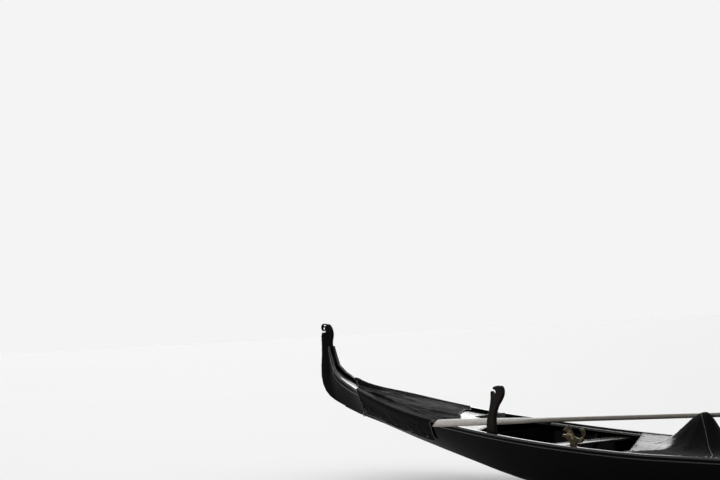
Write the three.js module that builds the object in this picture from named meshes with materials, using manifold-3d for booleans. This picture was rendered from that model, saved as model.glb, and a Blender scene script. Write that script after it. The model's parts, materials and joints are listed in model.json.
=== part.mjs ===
// Venetian gondola: a flat-bottomed rowing boat with a wider port side, a stern cover,
// one crutch, one oar and a tied seat cover. Millimetres, +X to the bow, +Y to port, +Z up.
// The origin is on the keel line of the flat bottom, at the middle of the boat's length.
import * as THREE from 'three';
import { mergeVertices } from 'three/addons/utils/BufferGeometryUtils.js';
import Module from 'manifold-3d';

const wasm = await Module();
wasm.setup();

// Driving dimensions, in millimetres
const MID_STATION = 5330;
const HULL_END = 10500;
const PLANK = 15;
const BOTTOM_PLANK = 20;
const STRAKE = 16;
const GAP = 0.3;
const SEAT = 0.5;
const POST_HALF = 18;
const FLARE_BULGE = 0.3;

const RAIL = { inboard: 28, outboard: 10, height: 18, round: 5, ease: 3 };
const MOULDING = { height: 16, proud: 9, clear: 0.8, from: 120, to: 10350 };
// How far the lower moulding lies under the sheer: amidships, and more towards each end
const MOULDING_LINE = { drop: 31, endDrop: 26, endReach: 1200 };
const INWALE = { width: 62, thick: 20, from: 2750, to: 7800, starboardFrom: 3250 };
const DECK = { thick: 16, drop: 24, clear: 1.5 };
const DECK_SPAN = { sternFrom: 120, sternTo: 2750, bowFrom: 7800, bowTo: 10350 };
const CROWN = { stern: 0.07, bow: 0.112 };
const RIB = { thick: 30, depth: 40 };
const FLOOR = { thick: 15, side: 108 };
const BULKHEAD = 18;
const BULKHEAD_SETBACK = 12;
const COVER = { from: 750, to: 2000, thick: 8, skirt: 215, clear: 1.0 };
const SEAT_COVER = { thick: 12 };
const OAR = { end: 2245, roll: 30 };
const CRUTCH = { station: 2985, thick: 46, round: 7, shoulder: 8 };

// Where the hull is measured: stations along the boat, from the stern end, in millimetres
const STATIONS = [
  50, 80, 120, 200, 300, 420, 560, 750, 1000, 1250, 1500, 1750, 2000, 2250, 2500, 2750, 2870, 3130,
  3250, 3500, 3750, 4000, 4350, 4700, 5050, 5400, 5850, 6200, 6600, 6900, 7200, 7500, 7800, 8100,
  8400, 8700, 9000, 9300, 9600, 9850, 10050, 10200, 10350, 10450,
];

// Hull lines. Columns: station, bottom height above the base, chine half-breadth to starboard and
// to port, sheer height above the base, sheer half-breadth to starboard and to port
const LINES = [
  [50, 958, 33, 33, 1450, 40, 38],
  [80, 932, 33.5, 33.5, 1336, 45, 43],
  [120, 906, 34, 34, 1256, 54, 50],
  [200, 872, 39, 39, 1188, 76, 71],
  [300, 838, 45, 45, 1133, 98, 92],
  [560, 768, 64, 66, 1044, 148, 152],
  [1000, 678, 98, 104, 953, 284, 297],
  [1500, 566, 146, 162, 850, 385, 445],
  [2000, 466, 202, 228, 768, 438, 556],
  [2500, 368, 252, 294, 711, 484, 645],
  [3000, 270, 298, 352, 662, 534, 716],
  [3500, 188, 332, 400, 620, 566, 766],
  [4000, 112, 354, 436, 588, 590, 803],
  [4500, 50, 366, 458, 564, 600, 818],
  [5050, 0, 372, 470, 548, 605, 824],
  [5850, 0, 370, 468, 548, 600, 812],
  [6600, 0, 356, 450, 566, 580, 776],
  [7200, 44, 332, 416, 594, 552, 724],
  [7800, 118, 298, 368, 634, 508, 646],
  [8400, 212, 252, 304, 690, 448, 548],
  [9000, 324, 198, 230, 766, 366, 428],
  [9600, 452, 134, 150, 874, 258, 288],
  [10050, 572, 76, 82, 1008, 146, 156],
  [10350, 660, 42, 42, 1130, 66, 68],
  [10450, 696, 33.5, 33.5, 1180, 35, 35],
];

// The scroll at the stern's head: a flat spiral, seated in a hollow of the post
const SCROLL = {
  station: -62, height: 1690, radius: 52, inner: 10, bar: 12, start: 52, turns: 1.3, half: 15,
};

function arcPoints(station, height, radius, fromDegrees, toDegrees, steps) {
  return Array.from({ length: steps + 1 }, (_, k) => {
    const turn = THREE.MathUtils.degToRad(THREE.MathUtils.lerp(fromDegrees, toDegrees, k / steps));
    return [station + radius * Math.cos(turn), height + radius * Math.sin(turn)];
  });
}

// Stern post outline, station and height above the base, from the heel up the aft side and back down
const STERN_POST = [
  [292, 836], [190, 867], [90, 906], [10, 945], [-53, 998], [-100, 1070], [-124, 1160], [-122, 1270],
  [-106, 1400], [-102, 1520], [-104, 1600],
  ...arcPoints(SCROLL.station, SCROLL.height, SCROLL.radius + SEAT, -118, SCROLL.start, 7),
  [-6, 1736], [24, 1726], [52, 1700], [72, 1662], [80, 1620], [70, 1575], [58, 1530], [62, 1486],
  [80, 1445], [94, 1370], [100, 1270], [106, 1170], [124, 1070], [162, 985], [222, 925], [292, 882],
];

// Bow post outline, station and height above the base, from the heel up the fore side and back down
const BOW_POST = [
  [10362, 656], [10460, 690], [10540, 748], [10592, 832], [10618, 936], [10622, 1046], [10610, 1156],
  [10592, 1256], [10576, 1330], [10555, 1362], [10520, 1368], [10490, 1345], [10470, 1290],
  [10444, 1210], [10436, 1060], [10430, 960], [10420, 870], [10396, 800], [10362, 745],
];
const BOW_POST_FORE = 9;

// Materials
const paint = new THREE.MeshStandardMaterial({ color: 0x0b0b0d, roughness: 0.25, metalness: 0 });
const varnish = new THREE.MeshStandardMaterial({ color: 0x1c1b1a, roughness: 0.15, metalness: 0 });
const walnut = new THREE.MeshStandardMaterial({ color: 0x2b2320, roughness: 0.4, metalness: 0 });
const oarWood = new THREE.MeshStandardMaterial({ color: 0xa89f92, roughness: 0.5, metalness: 0 });
const tarpaulin = new THREE.MeshStandardMaterial({ color: 0x2a2b2d, roughness: 0.7, metalness: 0 });
const steel = new THREE.MeshStandardMaterial({ color: 0xb9bcc0, roughness: 0.25, metalness: 1 });
const brass = new THREE.MeshStandardMaterial({ color: 0xb7a772, roughness: 0.25, metalness: 1 });
const rope = new THREE.MeshStandardMaterial({ color: 0x8d8678, roughness: 0.9, metalness: 0 });

const boat = new THREE.Group();

function addNode(name, geometry, material) {
  const mesh = new THREE.Mesh(geometry, material);
  mesh.name = name;
  boat.add(mesh);
  return mesh;
}

// Curves and hull lines
function slope(rows, i, column) {
  const before = rows[Math.max(i - 1, 0)];
  const after = rows[Math.min(i + 1, rows.length - 1)];
  const turns = (after[column] - rows[i][column]) * (rows[i][column] - before[column]) <= 0;
  const inside = i > 0 && i < rows.length - 1;
  return inside && turns ? 0 : (after[column] - before[column]) / (after[0] - before[0]);
}

function along(rows, station, column) {
  let i = 0;
  while (i < rows.length - 2 && station > rows[i + 1][0]) i += 1;
  const [a, b] = [rows[i], rows[i + 1]];
  const span = b[0] - a[0];
  const t = THREE.MathUtils.clamp((station - a[0]) / span, 0, 1);
  const m0 = slope(rows, i, column) * span;
  const m1 = slope(rows, i + 1, column) * span;
  const t2 = t * t;
  const t3 = t2 * t;
  return (2 * t3 - 3 * t2 + 1) * a[column] + (t3 - 2 * t2 + t) * m0
    + (3 * t2 - 2 * t3) * b[column] + (t3 - t2) * m1;
}

function linesAt(station) {
  const [bottom, chineStarboard, chinePort, sheer, sheerStarboard, sheerPort] =
    [1, 2, 3, 4, 5, 6].map((column) => along(LINES, station, column));
  return {
    bottom,
    sheer,
    chine: { 1: chinePort, '-1': chineStarboard },
    breadth: { 1: sheerPort, '-1': sheerStarboard },
  };
}

// The planking is flat between two stations, so what lies against it is measured the same way
function facetLines(station) {
  let i = 0;
  while (i < STATIONS.length - 2 && station > STATIONS[i + 1]) i += 1;
  const t = (station - STATIONS[i]) / (STATIONS[i + 1] - STATIONS[i]);
  const a = linesAt(STATIONS[i]);
  const b = linesAt(STATIONS[i + 1]);
  const mix = (p, q) => THREE.MathUtils.lerp(p, q, t);
  return {
    bottom: mix(a.bottom, b.bottom),
    sheer: mix(a.sheer, b.sheer),
    chine: { 1: mix(a.chine[1], b.chine[1]), '-1': mix(a.chine[-1], b.chine[-1]) },
    breadth: { 1: mix(a.breadth[1], b.breadth[1]), '-1': mix(a.breadth[-1], b.breadth[-1]) },
  };
}

// Half-breadth of the outer planking at a share of the way from the chine to the sheer
function flare(lines, side, share) {
  const bulge = FLARE_BULGE * share * (1 - share);
  return THREE.MathUtils.lerp(lines.chine[side], lines.breadth[side], share + bulge);
}

// The planking is straight between these shares of its height
const SHARES = [0, 0.2, 0.42, 0.66, 1];

function mouldingShare(lines, station) {
  const fromAft = Math.max(0, 1 - station / MOULDING_LINE.endReach);
  const fromFore = Math.max(0, 1 - (HULL_END - station) / MOULDING_LINE.endReach);
  const drop = MOULDING_LINE.drop + MOULDING_LINE.endDrop * (fromAft + fromFore);
  return 1 - drop / (lines.sheer - lines.bottom);
}

function sideShares(lower, upper) {
  return [lower, ...SHARES.filter((share) => share > lower + 0.03 && share < upper - 0.03), upper];
}

function heightShare(lines, z) {
  return (z - lines.bottom) / (lines.sheer - lines.bottom);
}

// The straight-sided half-breadth at a height, as the facets of the planking have it
function innerBreadth(lines, station, side, z, thick = STRAKE) {
  const share = THREE.MathUtils.clamp(heightShare(lines, z), 0, 1);
  const knots = [...sideShares(0, mouldingShare(lines, station)), 1];
  let i = 0;
  while (i < knots.length - 2 && share > knots[i + 1]) i += 1;
  const t = (share - knots[i]) / (knots[i + 1] - knots[i]);
  const low = flare(lines, side, knots[i]);
  const high = flare(lines, side, knots[i + 1]);
  return THREE.MathUtils.lerp(low, high, t) - thick;
}

// Solids from rings of points
function closedSurface(points, triangles) {
  const geometry = new THREE.BufferGeometry();
  const flat = points.flatMap((p) => [p.x, p.y, p.z]);
  geometry.setAttribute('position', new THREE.Float32BufferAttribute(flat, 3));
  let volume = 0;
  for (const [a, b, c] of triangles) {
    volume += points[a].dot(new THREE.Vector3().crossVectors(points[b], points[c]));
  }
  geometry.setIndex(triangles.flatMap(([a, b, c]) => (volume < 0 ? [a, c, b] : [a, b, c])));
  geometry.computeVertexNormals();
  return geometry;
}

function loft(rings, flatten = (p) => new THREE.Vector2(p.y, p.z)) {
  const count = rings[0].length;
  const points = rings.flat();
  const triangles = [];
  for (let r = 0; r < rings.length - 1; r += 1) {
    for (let k = 0; k < count; k += 1) {
      const a = r * count + k;
      const b = r * count + ((k + 1) % count);
      triangles.push([a, b, a + count], [b, b + count, a + count]);
    }
  }
  for (const r of [0, rings.length - 1]) {
    for (const face of THREE.ShapeUtils.triangulateShape(rings[r].map(flatten), [])) {
      triangles.push(face.map((k) => r * count + k));
    }
  }
  return orient(points, triangles);
}

// Turns each triangle so that neighbours agree and the whole faces outwards
function orient(points, triangles) {
  const edgeKey = (a, b) => `${a}_${b}`;
  const owners = new Map();
  triangles.forEach((triangle, index) => {
    for (let k = 0; k < 3; k += 1) {
      const [a, b] = [triangle[k], triangle[(k + 1) % 3]];
      const key = a < b ? edgeKey(a, b) : edgeKey(b, a);
      if (!owners.has(key)) owners.set(key, []);
      owners.get(key).push(index);
    }
  });
  const done = new Array(triangles.length).fill(false);
  const queue = [0];
  done[0] = true;
  while (queue.length > 0) {
    const index = queue.pop();
    const triangle = triangles[index];
    for (let k = 0; k < 3; k += 1) {
      const [a, b] = [triangle[k], triangle[(k + 1) % 3]];
      const key = a < b ? edgeKey(a, b) : edgeKey(b, a);
      for (const other of owners.get(key)) {
        if (done[other]) continue;
        const t = triangles[other];
        const sameWay = [0, 1, 2].some((m) => t[m] === a && t[(m + 1) % 3] === b);
        if (sameWay) triangles[other] = [t[0], t[2], t[1]];
        done[other] = true;
        queue.push(other);
      }
    }
  }
  return closedSurface(points, triangles);
}

function at(station, y, z) {
  return new THREE.Vector3(station - MID_STATION, y, z);
}

function stationsFrom(from, to) {
  const inner = STATIONS.filter((station) => station > from + 1 && station < to - 1);
  return [from, ...inner, to];
}

function loftAlong(from, to, ringAt) {
  return loft(stationsFrom(from, to).map((station) => ringAt(station, facetLines(station))));
}

// An outline in the boat's centre plane, given thickness to both sides
function centrePlate(outline, halfThick, bevel = 3) {
  const shape = new THREE.Shape(outline.map(([s, z]) => new THREE.Vector2(s - MID_STATION, z)));
  const geometry = new THREE.ExtrudeGeometry(shape, {
    depth: 2 * (halfThick - bevel),
    bevelEnabled: bevel > 0,
    bevelThickness: bevel,
    bevelSize: bevel,
    bevelOffset: -bevel,
    bevelSegments: 1,
    curveSegments: 6,
  });
  geometry.rotateX(Math.PI / 2);
  geometry.translate(0, halfThick - bevel, 0);
  return geometry;
}

// Booleans
function toManifold(geometry) {
  const plain = geometry.clone();
  plain.deleteAttribute('normal');
  plain.deleteAttribute('uv');
  const merged = mergeVertices(plain, 1e-3);
  return new wasm.Manifold(new wasm.Mesh({
    numProp: 3,
    vertProperties: new Float32Array(merged.attributes.position.array),
    triVerts: new Uint32Array(merged.index.array),
  }));
}

function fromManifold(solid) {
  const mesh = solid.getMesh();
  const geometry = new THREE.BufferGeometry();
  geometry.setAttribute('position', new THREE.Float32BufferAttribute(mesh.vertProperties, 3));
  geometry.setIndex([...mesh.triVerts]);
  geometry.computeVertexNormals();
  return geometry;
}

function joined(...geometries) {
  return fromManifold(geometries.map(toManifold).reduce((a, b) => a.add(b)));
}

function cutBy(geometry, ...tools) {
  return fromManifold(tools.map(toManifold).reduce((a, b) => a.subtract(b), toManifold(geometry)));
}

const SIDES = [
  { name: 'port', side: 1 },
  { name: 'starboard', side: -1 },
];

// Bottom planking
const HULL_FROM = STATIONS[0];
const HULL_TO = STATIONS[STATIONS.length - 1];
const BOTTOM_FROM = 300;
const BOTTOM_TO = 10350;

addNode('bottom_planking', loftAlong(BOTTOM_FROM, BOTTOM_TO, (station, lines) => [
  at(station, -lines.chine[-1], lines.bottom),
  at(station, lines.chine[1], lines.bottom),
  at(station, lines.chine[1], lines.bottom + BOTTOM_PLANK),
  at(station, -lines.chine[-1], lines.bottom + BOTTOM_PLANK),
]), paint);

// Side planking, in two strakes that meet under the lower moulding
function strakeRing(station, lines, side, shares, thick) {
  const point = (share, inset) => {
    const height = THREE.MathUtils.lerp(lines.bottom, lines.sheer, share);
    return at(station, side * (flare(lines, side, share) - inset), height);
  };
  return [
    ...shares.map((share) => point(share, 0)),
    ...[...shares].reverse().map((share) => point(share, thick)),
  ];
}

for (const { name, side } of SIDES) {
  addNode(`side_planking_${name}`, loftAlong(HULL_FROM, HULL_TO, (station, lines) => {
    const lower = heightShare(lines, lines.bottom + BOTTOM_PLANK + GAP);
    const upper = mouldingShare(lines, station);
    const shares = [lower, ...SHARES.slice(1, -1), upper];
    return strakeRing(station, lines, side, shares, PLANK);
  }), paint);
  addNode(`top_strake_${name}`, loftAlong(HULL_FROM, HULL_TO, (station, lines) => {
    const lower = mouldingShare(lines, station) + GAP / (lines.sheer - lines.bottom);
    return strakeRing(station, lines, side, [lower, 1], STRAKE);
  }), paint);
}

// Sheer rails, the upper of the two bright mouldings
function sheerSteepness(station) {
  const rise = linesAt(station + 20).sheer - linesAt(station - 20).sheer;
  return Math.hypot(1, rise / 40);
}

function railRing(station, lines, side) {
  const inner = Math.max(lines.breadth[side] - RAIL.inboard, POST_HALF + 1.5);
  const outer = lines.breadth[side] + RAIL.outboard;
  const low = lines.sheer + GAP;
  const high = low + RAIL.height * sheerSteepness(station);
  return [
    at(station, side * inner, low),
    at(station, side * outer, low),
    at(station, side * outer, high - RAIL.round),
    at(station, side * (outer - RAIL.round), high),
    at(station, side * (inner + RAIL.ease), high),
    at(station, side * inner, high - RAIL.ease),
  ];
}

for (const { name, side } of SIDES) {
  addNode(`sheer_rail_${name}`, loftAlong(HULL_FROM, HULL_TO,
    (station, lines) => railRing(station, lines, side)), paint);
}

// Lower mouldings, half-round beads over the seam between the strakes
function mouldingRing(station, lines, side) {
  const share = mouldingShare(lines, station);
  const height = THREE.MathUtils.lerp(lines.bottom, lines.sheer, share);
  const reach = (MOULDING.height / 2) * sheerSteepness(station);
  const face = (z) => side * (innerBreadth(lines, station, side, z, 0) + MOULDING.clear);
  const proud = (z, out) => side * (innerBreadth(lines, station, side, z, 0) + out);
  return [
    at(station, face(height - reach), height - reach),
    at(station, proud(height - reach * 0.6, MOULDING.proud * 0.8), height - reach * 0.6),
    at(station, proud(height, MOULDING.proud), height),
    at(station, proud(height + reach * 0.6, MOULDING.proud * 0.8), height + reach * 0.6),
    at(station, face(height + reach), height + reach),
    at(station, face(height), height),
  ];
}

for (const { name, side } of SIDES) {
  addNode(`lower_moulding_${name}`, loftAlong(MOULDING.from, MOULDING.to,
    (station, lines) => mouldingRing(station, lines, side)), paint);
}

// Posts at the two ends
addNode('stern_post', centrePlate(STERN_POST, POST_HALF), paint);
addNode('bow_post', centrePlate(BOW_POST, POST_HALF), paint);

// Inner gunwales, level with the sheer between the two decks
for (const { name, side } of SIDES) {
  const from = side > 0 ? INWALE.from + GAP : INWALE.starboardFrom;
  addNode(`inner_gunwale_${name}`, loftAlong(from, INWALE.to - GAP, (station, lines) => {
    const high = lines.sheer - GAP;
    const low = high - INWALE.thick;
    const outer = (z) => innerBreadth(lines, station, side, z) - SEAT;
    return [
      at(station, side * outer(high), high),
      at(station, side * (outer(high) - INWALE.width), high),
      at(station, side * (outer(low) - INWALE.width), low),
      at(station, side * outer(low), low),
    ];
  }), varnish);
}

// Decks, crowned plates between the top strakes
function deckRing(station, lines, crown) {
  const low = lines.sheer - DECK.drop - DECK.thick;
  const shares = [-1, -0.5, 0, 0.5, 1];
  const across = shares.map((share) => {
    const side = share < 0 ? -1 : 1;
    return share * (innerBreadth(lines, station, side, low) - DECK.clear);
  });
  const lift = shares.map((share) => crown * (1 - share * share));
  return [
    ...across.map((y, k) => at(station, y, low + lift[k])),
    ...across.map((y, k) => at(station, y, low + lift[k] + DECK.thick)).reverse(),
  ];
}

function crownAt(lines, share = CROWN.stern) {
  return share * (lines.breadth[1] + lines.breadth[-1]);
}

addNode('stern_deck', loftAlong(DECK_SPAN.sternFrom, DECK_SPAN.sternTo,
  (station, lines) => deckRing(station, lines, crownAt(lines))), varnish);
addNode('bow_deck', loftAlong(DECK_SPAN.bowFrom, DECK_SPAN.bowTo,
  (station, lines) => deckRing(station, lines, crownAt(lines, CROWN.bow))), varnish);

// Bulkheads under the inner ends of the decks
function bulkheadRing(station, lines) {
  const low = lines.bottom + BOTTOM_PLANK + SEAT;
  const high = lines.sheer - DECK.drop - DECK.thick - 3;
  const levels = [low, THREE.MathUtils.lerp(low, high, 0.5), high];
  const edge = (side, z) => side * (innerBreadth(lines, station, side, z) - 1.2);
  return [
    ...levels.map((z) => at(station, edge(1, z), z)),
    ...[...levels].reverse().map((z) => at(station, edge(-1, z), z)),
  ];
}

function bulkhead(from) {
  return loftAlong(from, from + BULKHEAD, bulkheadRing);
}

addNode('aft_bulkhead', bulkhead(DECK_SPAN.sternTo - BULKHEAD - BULKHEAD_SETBACK), paint);
addNode('fore_bulkhead', bulkhead(DECK_SPAN.bowFrom + BULKHEAD_SETBACK), paint);

// Ribs: one U-shaped frame each, standing on the bottom and against both sides
const RIB_STATIONS = [3300, 3870, 4250, 6280, 6980, 7620];

function ribRing(station, lines) {
  const low = lines.bottom + BOTTOM_PLANK + SEAT;
  const high = lines.sheer - INWALE.thick - 2;
  const knots = SHARES.slice(1, -1).map((share) => THREE.MathUtils.lerp(lines.bottom, lines.sheer, share));
  const levels = [low, ...knots, high];
  const skin = (side, z) => innerBreadth(lines, station, side, z) - SEAT;
  const outer = (side) => levels.map((z) => at(station, side * skin(side, z), z));
  const inner = (side) => levels.map((z, k) => {
    const height = k === 0 ? z + RIB.depth : z;
    return at(station, side * (skin(side, z) - RIB.depth), height);
  });
  return [
    ...outer(1),
    ...inner(1).reverse(),
    ...inner(-1),
    ...outer(-1).reverse(),
  ];
}

RIB_STATIONS.forEach((station, index) => {
  addNode(`rib_${index + 1}`, loftAlong(station, station + RIB.thick, ribRing), paint);
});

// Floorboards in three lengths, lying on the ribs
const FLOOR_LENGTHS = [
  { name: 'floorboards_aft', from: 2870, to: 4700 },
  { name: 'floorboards_middle', from: 4700 + GAP, to: 6620 },
  { name: 'floorboards_fore', from: 6620 + GAP, to: 7500 },
];

function floorRing(station, lines) {
  const low = lines.bottom + BOTTOM_PLANK + SEAT + RIB.depth + GAP;
  const edge = (side) => side * (innerBreadth(lines, station, side, low) - FLOOR.side);
  return [
    at(station, edge(-1), low),
    at(station, edge(1), low),
    at(station, edge(1), low + FLOOR.thick),
    at(station, edge(-1), low + FLOOR.thick),
  ];
}

for (const { name, from, to } of FLOOR_LENGTHS) {
  addNode(name, loftAlong(from, to, floorRing), varnish);
}

// Thwarts, boards from side to side, this far under the inner gunwales and clear of the planking
const THWART_DROP = 14;
const THWART_CLEAR = 0.85;
const THWARTS = [
  { name: 'aft_thwart', from: 3500, to: 3750, thick: 24 },
  { name: 'middle_thwart', from: 4350, to: 4700, thick: 24 },
  { name: 'fore_thwart', from: 7200, to: 7440, thick: 24 },
];

for (const { name, from, to, thick } of THWARTS) {
  const ends = [facetLines(from), facetLines(to)];
  const top = Math.min(...ends.map((lines) => lines.sheer)) - INWALE.thick - THWART_DROP;
  addNode(name, loftAlong(from, to, (station, lines) => {
    const reach = (side) => innerBreadth(lines, station, side, top - thick, PLANK);
    const edge = (side) => side * (reach(side) - THWART_CLEAR);
    return [
      at(station, edge(-1), top - thick),
      at(station, edge(1), top - thick),
      at(station, edge(1), top),
      at(station, edge(-1), top),
    ];
  }), varnish);
}

// Crutch block: a thick piece let in behind the top strake, with a socket through it
const BLOCK = { from: 2870, to: 3130, wall: 12, deep: 64 };
const SOCKET = { long: 74, wide: 34, clear: 0.5, foot: 52, tenon: 30 };

const crutchLines = facetLines(CRUTCH.station);
const blockOuter = (station, lines, z) => innerBreadth(lines, station, -1, z) - SEAT;
const blockFloor = crutchLines.sheer - BLOCK.deep;
const crutchY = -(blockOuter(CRUTCH.station, crutchLines, blockFloor) - SOCKET.wide / 2 - BLOCK.wall);

function boxAt(station, y, low, length, width, height) {
  const geometry = new THREE.BoxGeometry(length, width, height);
  geometry.translate(station - MID_STATION, y, low + height / 2);
  return geometry;
}

const blockBody = loftAlong(BLOCK.from + GAP, BLOCK.to - GAP, (station, lines) => {
  const high = lines.sheer - GAP;
  const low = high - BLOCK.deep;
  const inner = -crutchY - SOCKET.wide / 2 - BLOCK.wall;
  return [
    at(station, -blockOuter(station, lines, high), high),
    at(station, -inner, high),
    at(station, -inner, low),
    at(station, -blockOuter(station, lines, low), low),
  ];
});
addNode('crutch_block', cutBy(
  blockBody,
  boxAt(
    CRUTCH.station,
    crutchY,
    crutchLines.sheer - 2 * BLOCK.deep,
    SOCKET.long,
    SOCKET.wide,
    4 * BLOCK.deep,
  ),
), varnish);

// Crutch: a carved fork on a square foot.
// Outline columns: forward of the foot's middle, above its shoulder
const CRUTCH_OUTLINE = [
  [-55, 0], [-54, 60], [-48, 120], [-34, 172], [-14, 222], [2, 275], [13, 330], [15, 375], [20, 408],
  [34, 402], [44, 386], [60, 376], [76, 380], [85, 396], [81, 412], [66, 420], [46, 424],
  [50, 444], [76, 454], [114, 460], [156, 457], [176, 436], [183, 400], [173, 360], [146, 316],
  [106, 272], [78, 222], [60, 172], [54, 120], [54, 60], [55, 0],
];

const crutchShape = new THREE.Shape(CRUTCH_OUTLINE.map(([x, z]) => new THREE.Vector2(x, z)));
const crutchFork = new THREE.ExtrudeGeometry(crutchShape, {
  depth: CRUTCH.thick - 2 * CRUTCH.round,
  bevelEnabled: true,
  bevelThickness: CRUTCH.round,
  bevelSize: CRUTCH.round,
  bevelOffset: -CRUTCH.round,
  bevelSegments: 2,
});
crutchFork.rotateX(Math.PI / 2);
crutchFork.translate(
  CRUTCH.station - MID_STATION,
  crutchY + CRUTCH.thick / 2 - CRUTCH.round,
  crutchLines.sheer + CRUTCH.shoulder,
);
addNode('crutch', joined(
  crutchFork,
  boxAt(
    CRUTCH.station,
    crutchY,
    crutchLines.sheer - SOCKET.foot,
    SOCKET.long - 2 * SOCKET.clear,
    SOCKET.wide - 2 * SOCKET.clear,
    SOCKET.foot + SOCKET.tenon,
  ),
), walnut);

// Oar. Columns: distance from the blade's end, half-width, half-thickness
const OAR_SECTIONS = [
  [0, 58, 5], [30, 68, 7], [520, 66, 10], [900, 54, 14], [1180, 36, 19], [1420, 24.5, 23.5], [2500, 24, 24],
  [3700, 20, 20], [4170, 18, 18], [4200, 14, 14],
];
const OAR_SIDES = 12;
// Two points of the oar's middle line: over the sheer rail, and on the peak of the seat cover
const OAR_ON_RAIL = at(2400, -478, 754.3);
const OAR_ON_PEAK = at(5150, 217.2, 855);

const oarWay = OAR_ON_PEAK.clone().sub(OAR_ON_RAIL).normalize();
const oarFlat = new THREE.Vector3().crossVectors(new THREE.Vector3(0, 0, 1), oarWay).normalize();
const oarUp = new THREE.Vector3().crossVectors(oarWay, oarFlat);
const oarRoll = THREE.MathUtils.degToRad(OAR.roll);
const oarWide = oarFlat.clone().applyAxisAngle(oarWay, oarRoll);
const oarThin = oarUp.clone().applyAxisAngle(oarWay, oarRoll);
const oarStart = OAR_ON_RAIL.clone()
  .addScaledVector(oarWay, (OAR.end - MID_STATION - OAR_ON_RAIL.x) / oarWay.x);

addNode('oar', loft(OAR_SECTIONS.map(([distance, wide, thin]) => {
  const middle = oarStart.clone().addScaledVector(oarWay, distance);
  return Array.from({ length: OAR_SIDES }, (_, k) => {
    const turn = (k / OAR_SIDES) * 2 * Math.PI;
    return middle.clone()
      .addScaledVector(oarWide, wide * Math.cos(turn))
      .addScaledVector(oarThin, thin * Math.sin(turn));
  });
})), oarWood);

// Scroll on the stern's head, a flat bar rolled into a spiral that thins to this share of its depth
const SCROLL_END = 0.6;

function spiralOutline({ station, height, radius, inner, bar, start, turns }) {
  const steps = 30;
  const edge = (inset) => Array.from({ length: steps + 1 }, (_, k) => {
    const share = k / steps;
    const turn = THREE.MathUtils.degToRad(start + share * turns * 360);
    const outer = THREE.MathUtils.lerp(radius, inner + bar * SCROLL_END, share);
    const r = outer - inset * THREE.MathUtils.lerp(1, SCROLL_END, share);
    return [station + r * Math.cos(turn), height + r * Math.sin(turn)];
  });
  return [...edge(0), ...edge(bar).reverse()];
}

addNode('stern_scroll', centrePlate(spiralOutline(SCROLL), SCROLL.half, 2), paint);

// Bow iron: a strap down the stem, six teeth forward, one aft, and a broad blade on top
const IRON = {
  half: 4, strap: 62, teeth: 6, teethFrom: 1140, toothPitch: 50, toothHigh: 28, toothLong: 112,
};

const TOOTH_ROOT = 10630;
const TOOTH_BOW = 6;
const AFT_TOOTH = { from: 10480, to: 10600, low: 1396 };

function offsetForward(outline, distance) {
  return outline.map(([station, height], i) => {
    const [a, b] = [outline[Math.max(i - 1, 0)], outline[Math.min(i + 1, outline.length - 1)]];
    const along2 = new THREE.Vector2(b[0] - a[0], b[1] - a[1]).normalize();
    return [station + along2.y * distance, height - along2.x * distance];
  });
}

const stemFace = BOW_POST.slice(0, BOW_POST_FORE);
const strapOutline = [
  ...offsetForward(stemFace, SEAT),
  [10572, 1380],
  [10570, 1450],
  [10640, 1450],
  ...offsetForward(stemFace, IRON.strap).slice(2).reverse(),
  ...offsetForward(stemFace, IRON.strap * 0.5).slice(0, 2).reverse(),
];
const bladeOutline = [
  [10570, 1440], [10640, 1440], [10652, 1476], [10690, 1502], [10740, 1508], [10790, 1496], [10806, 1540],
  [10804, 1600], [10784, 1668], [10744, 1726], [10690, 1762], [10630, 1774], [10592, 1752], [10566, 1700],
  [10558, 1630], [10564, 1560],
];

function ironBox(fromStation, toStation, low, high) {
  const geometry = new THREE.BoxGeometry(toStation - fromStation, 2 * IRON.half, high - low);
  geometry.translate((fromStation + toStation) / 2 - MID_STATION, 0, (low + high) / 2);
  return geometry;
}

const teeth = Array.from({ length: IRON.teeth }, (_, k) => {
  const low = IRON.teethFrom + k * IRON.toothPitch;
  const tip = TOOTH_ROOT + IRON.toothLong + TOOTH_BOW * Math.sin((k / (IRON.teeth - 1)) * Math.PI);
  return ironBox(TOOTH_ROOT, tip, low, low + IRON.toothHigh);
});
addNode('bow_iron', joined(
  centrePlate(strapOutline, IRON.half, 1),
  centrePlate(bladeOutline, IRON.half, 1),
  ...teeth,
  ironBox(AFT_TOOTH.from, AFT_TOOTH.to, AFT_TOOTH.low, AFT_TOOTH.low + IRON.toothHigh),
), steel);

// Sea-horse: a brass figure with a rolled tail, standing on the starboard inner gunwale
const HORSE = { station: 4140, half: 11, side: -1 };
const HORSE_OUTLINE = [
  [-66, 0], [66, 0], [68, 12], [34, 20], [26, 42], [60, 48], [100, 58], [130, 88], [140, 130], [128, 170],
  [100, 190], [76, 184], [74, 166], [92, 160], [106, 144], [106, 120], [92, 100], [64, 92], [30, 98],
  [0, 112], [-20, 134], [-34, 164], [-50, 196], [-60, 212], [-70, 196], [-98, 180], [-130, 158],
  [-132, 144], [-104, 144], [-86, 148], [-84, 120], [-100, 112], [-132, 118], [-142, 106], [-126, 92],
  [-92, 82], [-68, 62], [-46, 40], [-38, 20], [-68, 12],
];

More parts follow.
